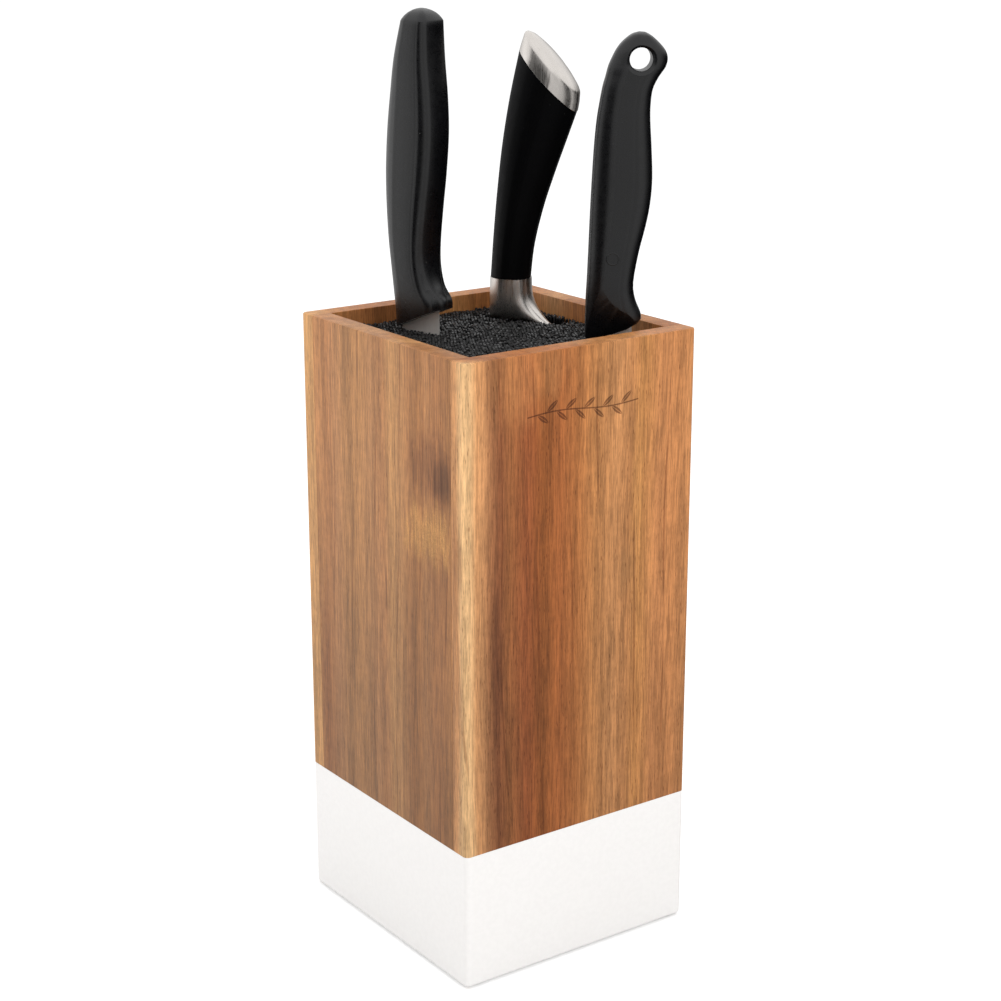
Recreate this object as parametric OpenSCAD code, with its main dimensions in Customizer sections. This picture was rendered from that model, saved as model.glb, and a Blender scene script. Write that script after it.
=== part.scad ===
// Knife block: a square wooden box with a painted foot, filled with upright plastic rods
// that hold knives pushed in anywhere. Origin: centre of the footprint, on the ground. +Z up,
// the front face looks along -Y. Millimetres.

/* [Block] */
// Width of the box, along X
block_w = 100; // [84:1:130]
// Depth of the box, along Y
block_d = 105; // [88:1:135]
// Height of the rim above the ground
block_h = 230; // [222:1:280]
// Thickness of the side boards
wall_t = 8; // [7:0.5:12]
// Radius of the four upright edges
corner_r = 2; // [0.5:0.5:4]
// Thickness of the board that closes the bottom
base_t = 8; // [7:0.5:12]

/* [Painted foot] */
// Height of the white band above the ground
band_h = 52; // [20:1:120]
// Thickness of the white lacquer
lacquer_t = 0.2; // [0.1:0.05:0.4]

/* [Pads] */
// Diameter of an anti-slip pad
pad_d = 12; // [8:1:16]
// Thickness of an anti-slip pad
pad_t = 1; // [0.8:0.1:2]
// Distance from a pad's rim to the edge of the base board
pad_inset = 3; // [2:0.5:10]

/* [Dowels] */
// Diameter of a wooden dowel
dowel_d = 4; // [3:0.5:5]
// Length of a dowel in the board whose face it enters
dowel_in_face = 5; // [3:0.5:6]
// Length of a dowel in the board whose end it enters
dowel_in_end = 12; // [8:1:16]
// Dowels in one upright corner joint
dowels_per_corner = 3; // [2:1:5]
// Distance from a corner joint's ends to its outer dowels
dowel_end_gap = 30; // [15:1:50]
// Distance between the two dowels in one side of the base board
base_dowel_pitch = 50; // [20:1:60]

/* [Rod insert] */
// Gap between the insert and the boards, all round
insert_gap = 0.5; // [0.3:0.1:1]
// Wall of the tray that holds the rods' feet
tray_wall = 1.2; // [0.8:0.1:2]
// Floor of the tray
tray_floor = 2; // [1.5:0.1:4]
// Height of the tray
tray_h = 25; // [15:1:60]
// Depth of the rods' tips below the rim
rod_recess = 5.5; // [3:0.5:12]
// Gap between a blade and the rods around it
slot_gap = 0.4; // [0.3:0.1:1]

/* [Utility knife] */
// Distance of its axis from the left board
utility_from_left = 24.8; // [18:0.1:40]
// Distance of its axis from the back board
utility_from_back = 21.5; // [20:0.1:40]
// Turn of its cutting edge from +X
utility_turn = -76; // [-100:1:-40]
// Length of its blade below the handle
utility_blade_len = 145; // [80:1:180]
// Width of its blade at the heel
utility_blade_w = 17.5; // [12:0.5:18]
// Thickness of its blade
utility_blade_t = 1.6; // [1:0.1:2.4]

/* [Slicing knife] */
// Distance of its axis from the right board
slicer_from_right = 16.5; // [15:0.1:30]
// Distance of its axis from the back board
slicer_from_back = 23.5; // [22:0.1:40]
// Turn of its cutting edge from +X
slicer_turn = -58; // [-80:1:-40]
// Length of its blade below the bolster
slicer_blade_len = 165; // [90:1:200]
// Width of its blade at the heel
slicer_blade_w = 31; // [24:0.5:38]
// Thickness of its blade
slicer_blade_t = 2; // [1.2:0.1:3]

/* [Paring knife] */
// Distance of its axis from the right board
paring_from_right = 11; // [10.5:0.1:20]
// Distance of its axis from the front board
paring_from_front = 13.5; // [13:0.1:30]
// Turn of its cutting edge from +X
paring_turn = -33; // [-45:1:-20]
// Length of its blade below the handle
paring_blade_len = 105; // [60:1:150]
// Width of its blade at the heel
paring_blade_w = 14.5; // [10:0.5:15]
// Thickness of its blade
paring_blade_t = 1.4; // [1:0.1:2.4]
// Diameter of the hanging hole
hang_hole_d = 8; // [5:0.5:9]

/* [Knife handles] */
// Gap between a tang and the handle around it
tang_gap = 0.1; // [0.05:0.05:0.3]
// Length of the tang inside a moulded handle
tang_len = 70; // [40:1:85]
// Width of a tang
tang_w = 8; // [5:0.5:9]

/* [Hidden] */
$fn = 64;

WOOD = "#b98355";
WHITE = "#f2f1ee";
DOWEL = "#d8b98a";
RUBBER = "#3a3a3c";
PLASTIC = "#1d1d1f";
GRIP = "#0d0d0e";
STEEL = "#c3c2be";

well_w = block_w - 2 * wall_t;
well_d = block_d - 2 * wall_t;
tray_w = well_w - 2 * insert_gap;
tray_d = well_d - 2 * insert_gap;
tray_z = pad_t + base_t;
tray_inner_r = 0.8;
// Clearance of the rods from the tray, and of a dowel from its bore, round it and at each end
pack_gap = 0.1;
dowel_gap = 0.05;
bore_gap = 0.5;
foot_w = tray_w - 2 * (tray_wall + pack_gap);
foot_d = tray_d - 2 * (tray_wall + pack_gap);
foot_z = tray_z + tray_floor;
pack_z = tray_z + tray_h + pack_gap;
rod_top = block_h - rod_recess;
// How far a slot runs on past a blade's point, and how far a cut runs past the face it opens
slot_run = 3;
cut = 1;

utility_x = -well_w / 2 + utility_from_left;
utility_y = well_d / 2 - utility_from_back;
slicer_x = well_w / 2 - slicer_from_right;
slicer_y = well_d / 2 - slicer_from_back;
paring_x = well_w / 2 - paring_from_right;
paring_y = -well_d / 2 + paring_from_front;

// Rings along a blade's sweep, the width left at its point, the share of the section where the
// bevels start, and the share of the thickness left at the edge.
BLADE_RINGS = 12;
BLADE_POINT_W = 0.8;
BLADE_GRIND = -0.2;
BLADE_EDGE = 0.12;

// Each knife in its own plane: the blade's back, the top of the blade inside its handle, counted
// from the rods' tips, the share of the edge that is straight, and the back of the tang.
utility_back = -8.2;
utility_heel_z = 11.5;
utility_belly = 0.72;
utility_tang_x = -6;
paring_back = -9.1;
paring_heel_z = 9;
paring_belly = 0.68;
paring_tang_x = -7;
slicer_back = -11.3;
slicer_heel_z = -5;
slicer_belly = 0.55;
slicer_tang_x = -5;
slicer_tang_len = 62;

// Half the thickness of the bolster's root between the rods, and the rods' distance from its back.
root_t = 5.2;
root_gap = 0.5;

// How far the shoulder's pocket runs down, out of a moulded handle's foot.
shoulder_run = 30;

// How square the moulded and the forged sections are, and the sides and steps of their lofts.
MOULDED = 3;
FORGED = 2.6;
UTILITY_SIDES = 28;
SLICER_SIDES = 32;
PARING_SIDES = 32;
UTILITY_STEPS = 2;
BOLSTER_STEPS = 2;
GRIP_STEPS = 3;

// The stem that holds the end cap in its grip, square to the seam between them.
STEM_D = 6;
STEM_LEN = 14;
STEM_GAP = 0.05;
STEM_ROOT = [11.45, 87.75];
STEM_TILT = 44.7;

// ---- lofted handles and blades ------------------------------------------------------------
// A station is [back x, back z, edge x, edge z, half thickness]: two points of an outline in the
// knife's own plane, with z counted from the rods' tips. A section is a list of [along, across],
// each from -1 to 1, that every station stretches to its own size.

function spread(v, power) = sign(v) * pow(abs(v), 2 / power);

// A rounded section: power 2 is an ellipse, and higher powers are squarer.
function rounded_section(power, sides) =
    [for (i = [0 : sides - 1]) [spread(cos(360 * i / sides), power), spread(sin(360 * i / sides), power)]];

// A blade's section: a flat back, flat cheeks, and two bevels that meet at the edge.
function blade_section(grind, edge) =
    [[1, edge], [grind, 1], [-1, 1], [-1, -1], [grind, -1], [1, -edge]];

function between(a, b, c, d, t) =
    0.5 * (2 * b + (c - a) * t + (2 * a - 5 * b + 4 * c - d) * t * t + (3 * b - a - 3 * c + d) * t * t * t);

// Stations on a smooth curve through the given ones.
function smooth_stations(s, steps) =
    [for (i = [0 : len(s) - 2], k = [0 : steps - 1])
        between(s[max(i - 1, 0)], s[i], s[i + 1], s[min(i + 2, len(s) - 1)], k / steps),
     s[len(s) - 1]];

function ring(st, section) =
    [for (p = section)
        [(st[0] + st[2]) / 2 + p[0] * (st[2] - st[0]) / 2,
         p[1] * st[4],
         (st[1] + st[3]) / 2 + p[0] * (st[3] - st[1]) / 2]];

module loft(stations, section) {
    n = len(section);
    last = len(stations) - 1;
    points = [for (st = stations) each ring(st, section)];
    sides = [for (i = [0 : last - 1], j = [0 : n - 1], half = [0, 1])
        let (a = i * n + j, b = i * n + (j + 1) % n)
        half == 0 ? [a, a + n, b] : [b, a + n, b + n]];
    bottom = [for (j = [0 : n - 1]) j];
    top = [for (j = [n - 1 : -1 : 0]) last * n + j];
    polyhedron(points, concat([bottom, top], sides));
}

// Stands a knife in the rods: its own +X is the way its cutting edge looks.
module stand(x, y, turn) {
    translate([x, y, rod_top]) rotate([0, 0, turn]) children();
}

module slab(x0, x1, z0, z1, t) {
    translate([x0, -t / 2, z0]) cube([x1 - x0, t, z1 - z0]);
}

// The space in the rods that a blade leaves when it is drawn.
module blade_slot(x0, x1, z0, t) {
    slab(x0 - slot_gap, x1 + slot_gap, z0 - slot_run, cut, t + 2 * slot_gap);
}

// ---- the box ------------------------------------------------------------------------------

// The box's footprint with rounded corners, every side moved in by inset.
module footprint(inset) {
    w = block_w - 2 * inset;
    d = block_d - 2 * inset;
    r = max(corner_r - inset, 0.1);
    square([w - 2 * r, d], center = true);
    square([w, d - 2 * r], center = true);
    for (x = [-1, 1], y = [-1, 1])
        translate([x * (w / 2 - r), y * (d / 2 - r)]) circle(r);
}

// The whole outside of the box as one block, thinner below where the lacquer lies on it.
module box_solid() {
    translate([0, 0, pad_t]) linear_extrude(band_h - pad_t) footprint(lacquer_t);
    translate([0, 0, band_h]) linear_extrude(block_h - band_h) footprint(0);
}

function corner_dowel_z(i) =
    dowel_end_gap + i * (block_h - 2 * dowel_end_gap) / (dowels_per_corner - 1);

// Every dowel of the upright joints, or with gap and extra its bore.
module corner_dowel_set(gap, extra) {
    for (x = [-1, 1], y = [-1, 1], i = [0 : dowels_per_corner - 1])
        translate([x * (block_w - wall_t) / 2, y * (well_d / 2 + dowel_in_face + extra), corner_dowel_z(i)])
            rotate([90 * y, 0, 0])
                cylinder(r = dowel_d / 2 + gap, h = dowel_in_face + dowel_in_end + 2 * extra);
}

// Every dowel of the base board, or with gap and extra its bore.
module base_dowel_set(gap, extra) {
    for (x = [-1, 1], y = [-1, 1])
        translate([x * (well_w / 2 + dowel_in_face + extra), y * base_dowel_pitch / 2, pad_t + base_t / 2])
            rotate([0, -90 * x, 0])
                cylinder(r = dowel_d / 2 + gap, h = dowel_in_face + dowel_in_end + 2 * extra);
}

module dowel_bores() {
    corner_dowel_set(dowel_gap, bore_gap);
    base_dowel_set(dowel_gap, bore_gap);
}

// A board across the whole width: side is -1 at the front and 1 at the back.
module cross_board(side) {
    color(WOOD) difference() {
        intersection() {
            box_solid();
            translate([-block_w / 2, side > 0 ? well_d / 2 : -block_d / 2, 0])
                cube([block_w, wall_t, block_h + cut]);
        }
        dowel_bores();
    }
}

// A board between the other two: side is -1 at the left and 1 at the right.
module side_board(side) {
    color(WOOD) difference() {
        intersection() {
            box_solid();
            translate([side > 0 ? well_w / 2 : -block_w / 2, -well_d / 2, 0])
                cube([wall_t, well_d, block_h + cut]);
        }
        dowel_bores();
    }
}

module front_board() {
    cross_board(-1);
}

module back_board() {
    cross_board(1);
}

module left_board() {
    side_board(-1);
}

module right_board() {
    side_board(1);
}

module base_board() {
    color(WOOD) difference() {
        translate([-well_w / 2, -well_d / 2, pad_t]) cube([well_w, well_d, base_t]);
        dowel_bores();
    }
}

module white_lacquer() {
    color(WHITE) translate([0, 0, pad_t]) linear_extrude(band_h - pad_t) difference() {
        footprint(0);
        footprint(lacquer_t);
    }
}

module corner_dowels() {
    color(DOWEL) corner_dowel_set(0, 0);
}

module base_dowels() {
    color(DOWEL) base_dowel_set(0, 0);
}

// An anti-slip pad under one corner, with a small bevel round its foot.
module pad(x, y) {
    bevel = pad_t / 3;
    reach = pad_d / 2 + pad_inset;
    color(RUBBER) translate([x * (well_w / 2 - reach), y * (well_d / 2 - reach), 0])
        rotate_extrude()
            polygon([[0, 0], [pad_d / 2 - bevel, 0], [pad_d / 2, bevel], [pad_d / 2, pad_t], [0, pad_t]]);
}

module pad_front_left() {
    pad(-1, -1);
}

module pad_front_right() {
    pad(1, -1);
}

module pad_back_left() {
    pad(-1, 1);
}

module pad_back_right() {
    pad(1, 1);
}

// ---- the rod insert -----------------------------------------------------------------------

module rounded_block(w, d, h, r) {
    linear_extrude(h) {
        square([w - 2 * r, d], center = true);
        square([w, d - 2 * r], center = true);
        for (x = [-1, 1], y = [-1, 1])
            translate([x * (w / 2 - r), y * (d / 2 - r)]) circle(r);
    }
}

module insert_tray() {
    color(PLASTIC) translate([0, 0, tray_z]) difference() {
        rounded_block(tray_w, tray_d, tray_h, tray_inner_r + tray_wall);
        translate([0, 0, tray_floor])
            rounded_block(tray_w - 2 * tray_wall, tray_d - 2 * tray_wall, tray_h, tray_inner_r);
    }
}

// The upright rods as one block, with the spaces that the knives hold open. Above the tray they
// spread until they reach as far out as the tray does.
module rod_pack() {
    color(PLASTIC) difference() {
        union() {
            translate([0, 0, foot_z])
                rounded_block(foot_w, foot_d, pack_z - foot_z, tray_inner_r - pack_gap);
            translate([-tray_w / 2, -tray_d / 2, pack_z]) cube([tray_w, tray_d, rod_top - pack_z]);
        }
        stand(utility_x, utility_y, utility_turn)
            blade_slot(utility_back, utility_back + utility_blade_w,
                       utility_heel_z - utility_blade_len, utility_blade_t);
        stand(slicer_x, slicer_y, slicer_turn) {
            blade_slot(slicer_back, slicer_back + slicer_blade_w,
                       slicer_heel_z - slicer_blade_len, slicer_blade_t);
            slab(slicer_back - root_gap, slicer_back + slicer_blade_w + slot_gap,
                 slicer_heel_z - slot_gap, cut, 2 * (root_t + slot_gap));
        }
        stand(paring_x, paring_y, paring_turn)
            blade_slot(paring_back, paring_back + paring_blade_w,
                       paring_heel_z - paring_blade_len, paring_blade_t);
    }
}

// ---- the knives ---------------------------------------------------------------------------

// A blade that hangs from z = top, listed from its point up: a straight back, and an edge that
// is straight for the share belly of the length and then sweeps in to the point.
function blade_stations(back, width, top, length, thick, belly) =
    [for (i = [BLADE_RINGS : -1 : 0])
        let (t = i / BLADE_RINGS,
             z = top - length * (belly + (1 - belly) * t),
             w = max(width * sqrt(1 - t * t), BLADE_POINT_W))
        [back, z, back + w, z, thick / 2],
     [back, top, back + width, top, thick / 2]];

module blade(back, width, top, length, thick, belly) {
    loft(blade_stations(back, width, top, length, thick, belly), blade_section(BLADE_GRIND, BLADE_EDGE));
}

// The handle from its guard up, and then the domed end above a crisp edge.
UTILITY_BODY = [
    [-8.9, 0.7, 12.4, 9.4, 6.8],
    [-9.2, 6.5, 11.9, 12.5, 6.9],
    [-10.0, 16.0, 8.2, 17.0, 7.0],
    [-10.8, 24.5, 6.3, 24.5, 7.2],
    [-11.8, 33.5, 6.4, 33.5, 7.4],
    [-12.7, 45.5, 7.9, 45.5, 7.4],
    [-12.9, 57.5, 9.6, 57.5, 7.4],
    [-12.0, 71.5, 10.8, 71.5, 7.4],
    [-10.3, 84.5, 10.4, 84.5, 7.3],
    [-8.2, 97.5, 9.2, 97.5, 7.0],
    [-4.8, 110.2, 8.7, 110.2, 6.4]
];
UTILITY_END = [
    [-4.0, 112.2, 8.0, 112.2, 5.6],
    [-1.9, 113.9, 6.2, 113.9, 3.8],
    [1.2, 114.6, 3.0, 114.6, 1.0]
];

SLICER_BOLSTER = [
    [-11.2, -5.0, 18.5, -5.0, 1.3],
    [-11.3, -3.4, 16.0, -3.4, 2.6],
    [-11.3, -1.4, 12.6, -1.4, 4.2],
    [-11.3, 1.4, 9.2, 1.4, 5.6],
    [-11.2, 4.6, 6.6, 4.6, 6.4],
    [-11.0, 9.0, 4.9, 9.0, 6.7],
    [-10.8, 15.0, 4.5, 15.0, 6.8]
];
SLICER_GRIP = [
    [-10.7, 15.0, 4.4, 15.0, 6.8],
    [-9.6, 30.5, 5.9, 27.5, 7.0],
    [-8.1, 47.5, 9.4, 41.5, 7.2],
    [-6.1, 64.5, 14.0, 55.0, 7.4],
    [-3.2, 81.5, 18.5, 67.0, 7.5],
    [0.6, 98.5, 22.3, 77.0, 7.5]
];
SLICER_CAP = [
    [0.6, 98.5, 22.3, 77.0, 7.6],
    [1.9, 102.6, 23.1, 81.2, 7.5],
    [3.0, 105.2, 23.0, 84.2, 6.9],
    [4.0, 105.9, 22.4, 85.8, 6.0],
    [8.2, 102.4, 18.8, 90.6, 3.2]
];

PARING_BODY = [
    [-11.4, 0.9, 8.6, 7.9, 4.2],
    [-11.4, 5.5, 8.3, 10.1, 4.8],
    [-11.2, 15.0, 6.3, 15.0, 5.6],
    [-10.9, 21.0, 5.6, 21.0, 6.1],
    [-10.5, 31.5, 7.3, 31.5, 6.5],
    [-10.2, 40.5, 9.5, 40.5, 6.5],
    [-9.9, 48.5, 11.0, 48.5, 6.5],
    [-9.5, 57.5, 11.6, 57.5, 6.5],
    [-8.9, 68.5, 11.1, 68.5, 6.4],
    [-8.1, 77.5, 10.5, 77.5, 6.2],
    [-7.1, 84.0, 10.5, 83.0, 6.0],
    [-6.2, 89.0, 11.1, 88.0, 5.9],
    [-5.2, 92.6, 12.7, 91.6, 5.8],
    [-4.6, 95.0, 14.3, 94.0, 5.8],
    [-4.0, 96.8, 15.5, 95.8, 5.7],
    [-2.7, 99.6, 16.1, 98.2, 5.6],
    [-1.5, 101.8, 15.6, 100.6, 5.4],
    [0.4, 104.2, 13.9, 103.0, 4.9],
    [3.4, 106.6, 10.8, 105.9, 3.8],
    [6.0, 107.5, 8.4, 107.3, 1.2]
];
// The hanging hole's place, half the length of its bore, the width of the flat face round each
// end of it, and how far its cuts run.
HANG_HOLE_X = 6.6;
HANG_HOLE_Z = 98.4;
HANG_LAND = 5;
HANG_FACE = 1.3;
HANG_RUN = 20;

module tang(x0, z0, z1, t) {
    slab(x0, x0 + tang_w, z0, z1, t);
}

// The pocket that a moulded handle has round its blade's shoulder and tang.
module tang_pocket(back, width, heel_z, tang_x, t) {
    slab(back - tang_gap, back + width + tang_gap, heel_z - shoulder_run, heel_z + tang_gap,
         t + 2 * tang_gap);
    slab(tang_x - tang_gap, tang_x + tang_w + tang_gap, heel_z - cut, heel_z + tang_len + tang_gap,
         t + 2 * tang_gap);
}

module utility_blade() {
    color(STEEL) stand(utility_x, utility_y, utility_turn) {
        blade(utility_back, utility_blade_w, utility_heel_z, utility_blade_len, utility_blade_t,
              utility_belly);
        tang(utility_tang_x, utility_heel_z - cut, utility_heel_z + tang_len, utility_blade_t);
    }
}

module utility_handle() {
    color(PLASTIC) stand(utility_x, utility_y, utility_turn) difference() {
        loft(concat(smooth_stations(UTILITY_BODY, UTILITY_STEPS), UTILITY_END),
             rounded_section(MOULDED, UTILITY_SIDES));
        tang_pocket(utility_back, utility_blade_w, utility_heel_z, utility_tang_x, utility_blade_t);
    }
}

module slicer_blade() {
    color(STEEL) stand(slicer_x, slicer_y, slicer_turn) {
        blade(slicer_back, slicer_blade_w, slicer_heel_z, slicer_blade_len, slicer_blade_t,
              slicer_belly);
        tang(slicer_tang_x, slicer_heel_z - cut, slicer_heel_z + slicer_tang_len, slicer_blade_t);
    }
}

module slicer_tang_pocket() {
    slab(slicer_tang_x - tang_gap, slicer_tang_x + tang_w + tang_gap, slicer_heel_z - cut,
         slicer_heel_z + slicer_tang_len + tang_gap, slicer_blade_t + 2 * tang_gap);
}

module slicer_bolster() {
    color(STEEL) stand(slicer_x, slicer_y, slicer_turn) difference() {
        loft(smooth_stations(SLICER_BOLSTER, BOLSTER_STEPS), rounded_section(FORGED, SLICER_SIDES));
        slicer_tang_pocket();
    }
}

// The stem, from root above the seam down into the grip, or with gap its bore.
module cap_stem(gap, root) {
    translate([STEM_ROOT[0], 0, STEM_ROOT[1]]) rotate([0, STEM_TILT, 0])
        translate([0, 0, -STEM_LEN - gap]) cylinder(r = STEM_D / 2 + gap, h = STEM_LEN + gap + root);
}

module slicer_grip() {
    color(GRIP) stand(slicer_x, slicer_y, slicer_turn) difference() {
        loft(smooth_stations(SLICER_GRIP, GRIP_STEPS), rounded_section(FORGED, SLICER_SIDES));
        slicer_tang_pocket();
        cap_stem(STEM_GAP, cut);
    }
}

module slicer_end_cap() {
    color(STEEL) stand(slicer_x, slicer_y, slicer_turn) {
        loft(SLICER_CAP, rounded_section(FORGED, SLICER_SIDES));
        cap_stem(0, cut);
    }
}

module paring_blade() {
    color(STEEL) stand(paring_x, paring_y, paring_turn) {
        blade(paring_back, paring_blade_w, paring_heel_z, paring_blade_len, paring_blade_t,
              paring_belly);
        tang(paring_tang_x, paring_heel_z - cut, paring_heel_z + tang_len, paring_blade_t);
    }
}

module paring_handle() {
    color(PLASTIC) stand(paring_x, paring_y, paring_turn) difference() {
        loft(PARING_BODY, rounded_section(MOULDED, PARING_SIDES));
        tang_pocket(paring_back, paring_blade_w, paring_heel_z, paring_tang_x, paring_blade_t);
        translate([HANG_HOLE_X, 0, HANG_HOLE_Z]) rotate([90, 0, 0]) {
            cylinder(d = hang_hole_d, h = HANG_RUN, center = true);
            for (side = [0, 180])
                rotate([0, side, 0]) translate([0, 0, HANG_LAND])
                    cylinder(r = hang_hole_d / 2 + HANG_FACE, h = HANG_RUN);
        }
    }
}

front_board();
back_board();
left_board();
right_board();
base_board();
white_lacquer();
corner_dowels();
base_dowels();
pad_front_left();
pad_front_right();
pad_back_left();
pad_back_right();
insert_tray();
rod_pack();
utility_blade();
utility_handle();
slicer_blade();
slicer_bolster();
slicer_grip();
slicer_end_cap();
paring_blade();
paring_handle();
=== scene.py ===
"""A square wooden knife block with a white painted foot, filled with upright plastic rods, and the
three kitchen knives that stand in it. Lengths in the classes are millimetres."""

import bmesh
import bpy
import logging
import math
import numpy as np
from dataclasses import dataclass, field
from enum import Enum
from mathutils import Matrix, Vector
from typing import Callable, Sequence, Union


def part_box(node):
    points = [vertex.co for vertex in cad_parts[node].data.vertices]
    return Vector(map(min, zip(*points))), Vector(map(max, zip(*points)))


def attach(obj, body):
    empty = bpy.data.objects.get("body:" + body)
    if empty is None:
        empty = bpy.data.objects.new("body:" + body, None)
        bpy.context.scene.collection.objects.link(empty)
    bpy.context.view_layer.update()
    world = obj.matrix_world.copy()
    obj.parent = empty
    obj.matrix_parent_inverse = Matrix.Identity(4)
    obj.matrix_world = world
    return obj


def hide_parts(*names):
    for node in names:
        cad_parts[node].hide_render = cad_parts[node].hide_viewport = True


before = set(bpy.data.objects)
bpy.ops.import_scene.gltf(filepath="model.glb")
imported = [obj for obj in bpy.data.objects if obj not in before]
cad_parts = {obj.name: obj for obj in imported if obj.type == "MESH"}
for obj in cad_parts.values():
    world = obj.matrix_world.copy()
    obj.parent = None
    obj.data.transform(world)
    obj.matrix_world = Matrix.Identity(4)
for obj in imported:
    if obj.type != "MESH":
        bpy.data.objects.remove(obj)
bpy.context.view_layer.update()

LOG = logging.getLogger("knife_block")
MM = 0.001
# how close, in millimetres, a point counts as lying on a face that is looked for
NEAR = 0.01
Piece = bpy.types.Object
Socket = bpy.types.NodeSocket
Value = Union[float, Socket]
Row = Union[Socket, Sequence[float]]
Test = Callable[[Vector, Vector], bool]


# ---- the workbench: modelling by hand ------------------------------------------------------------


class Part(Enum):
    """What an edit-mode pick works on."""

    VERTS = "VERT"
    EDGES = "EDGE"
    FACES = "FACE"


def put_down() -> None:
    """Leaves edit mode with nothing selected."""
    if bpy.context.object and bpy.context.object.mode != "OBJECT":
        bpy.ops.object.mode_set(mode="OBJECT")
    bpy.ops.object.select_all(action="DESELECT")


def take_up(piece: Piece) -> None:
    """Makes a piece the only selected and the active one."""
    put_down()
    piece.select_set(True)
    bpy.context.view_layer.objects.active = piece


def begin(name: str) -> Piece:
    """Names the primitive that was just added and opens it for editing.

    Args:
        name: The piece's name.

    Returns:
        The new object, in edit mode with everything selected.
    """
    piece = bpy.context.object
    piece.name = name
    piece.data.name = name
    bpy.ops.object.transform_apply(location=True, rotation=True, scale=True)
    bpy.ops.object.mode_set(mode="EDIT")
    bpy.ops.mesh.select_all(action="SELECT")
    return piece


def pick(piece: Piece, part: Part, test: Test) -> None:
    """Selects the parts of an open mesh that pass a test, and nothing else.

    Args:
        piece: The object in edit mode.
        part: Vertices, edges or faces.
        test: Takes a part's centre in millimetres, and its normal or an edge's direction.
    """
    bpy.ops.mesh.select_mode(type=part.value)
    bpy.ops.mesh.select_all(action="DESELECT")
    mesh = bmesh.from_edit_mesh(piece.data)
    mesh.normal_update()
    if part is Part.VERTS:
        chosen = [v for v in mesh.verts if test(v.co / MM, v.normal)]
    elif part is Part.EDGES:
        chosen = []
        for e in mesh.edges:
            a, b = (v.co / MM for v in e.verts)
            if test((a + b) / 2, (b - a).normalized()):
                chosen.append(e)
    else:
        chosen = [f for f in mesh.faces if test(f.calc_center_median() / MM, f.normal)]
    for item in chosen:
        item.select_set(True)
    mesh.select_flush_mode()
    bmesh.update_edit_mesh(piece.data)


def pick_all(part: Part = Part.VERTS) -> None:
    """Selects the whole of an open mesh."""
    bpy.ops.mesh.select_mode(type=part.value)
    bpy.ops.mesh.select_all(action="SELECT")


def face_outwards() -> None:
    """Turns every face of an open mesh outwards."""
    bpy.ops.mesh.select_all(action="SELECT")
    bpy.ops.mesh.normals_make_consistent(inside=False)


def close_up(piece: Piece, angle: float = 35.0) -> Piece:
    """Merges doubles, turns every face outwards, smooths the shading and leaves edit mode.

    Args:
        piece: The object in edit mode.
        angle: Edges sharper than this many degrees stay crisp.

    Returns:
        The same object.
    """
    bpy.ops.mesh.select_all(action="SELECT")
    bpy.ops.mesh.remove_doubles(threshold=1e-7)
    bpy.ops.mesh.normals_make_consistent(inside=False)
    bpy.ops.mesh.select_all(action="DESELECT")
    bpy.ops.object.mode_set(mode="OBJECT")
    bpy.ops.object.shade_smooth_by_angle(angle=math.radians(angle))
    return piece


def fix(piece: Piece, kind: str, **settings) -> None:
    """Adds a modifier with its settings and applies it.

    Args:
        piece: The object it works on.
        kind: Blender's name for the kind of modifier.
        **settings: Values set on the modifier.
    """
    take_up(piece)
    modifier = piece.modifiers.new(kind.title(), kind)
    for key, value in settings.items():
        setattr(modifier, key, value)
    bpy.ops.object.modifier_apply(modifier=modifier.name)


def cut_away(piece: Piece, cutter: Piece) -> None:
    """Takes a cutter's shape out of a piece and throws the cutter away."""
    fix(piece, "BOOLEAN", object=cutter, operation="DIFFERENCE", solver="EXACT")
    bpy.data.objects.remove(cutter)


def sharpen(piece: Piece, angle: float = 35.0) -> None:
    """Shades a finished piece smooth, with edges past an angle in degrees left crisp."""
    take_up(piece)
    bpy.ops.object.shade_smooth_by_angle(angle=math.radians(angle))


def ease_corners(piece: Piece, width: float) -> None:
    """Bevels every edge sharper than 60 degrees by a width in millimetres."""
    corner = math.radians(60)
    fix(piece, "BEVEL", width=width * MM, segments=2, limit_method="ANGLE", angle_limit=corner)


def scale_by(x: float, y: float, z: float, about: Sequence[float]) -> None:
    """Stretches the selection about a point given in millimetres."""
    centre = [c * MM for c in about]
    bpy.ops.transform.resize(value=(x, y, z), center_override=centre)


def extrude(x: float = 0.0, y: float = 0.0, z: float = 0.0) -> None:
    """Extrudes the selection by a step in millimetres."""
    move = {"value": (x * MM, y * MM, z * MM)}
    bpy.ops.mesh.extrude_region_move(TRANSFORM_OT_translate=move)


# ---- lofted shapes -------------------------------------------------------------------------------


@dataclass(frozen=True)
class Station:
    """One cross-section of a blade or a handle, in the knife's own plane.

    Attributes:
        back_x: Back end, along the way the cutting edge looks.
        back_z: Back end, above the rods' tips.
        edge_x: End on the cutting edge's side.
        edge_z: Its height.
        half: Half the thickness.
        nose: Share of the thickness that is left at the edge's end.
        spine: Share of the thickness that is left at the back end.
    """

    back_x: float
    back_z: float
    edge_x: float
    edge_z: float
    half: float
    nose: float = 1.0
    spine: float = 1.0

    def row(self) -> list[float]:
        """The station as a plain row of numbers."""
        return [self.back_x, self.back_z, self.edge_x, self.edge_z, self.half, self.nose, self.spine]


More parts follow.
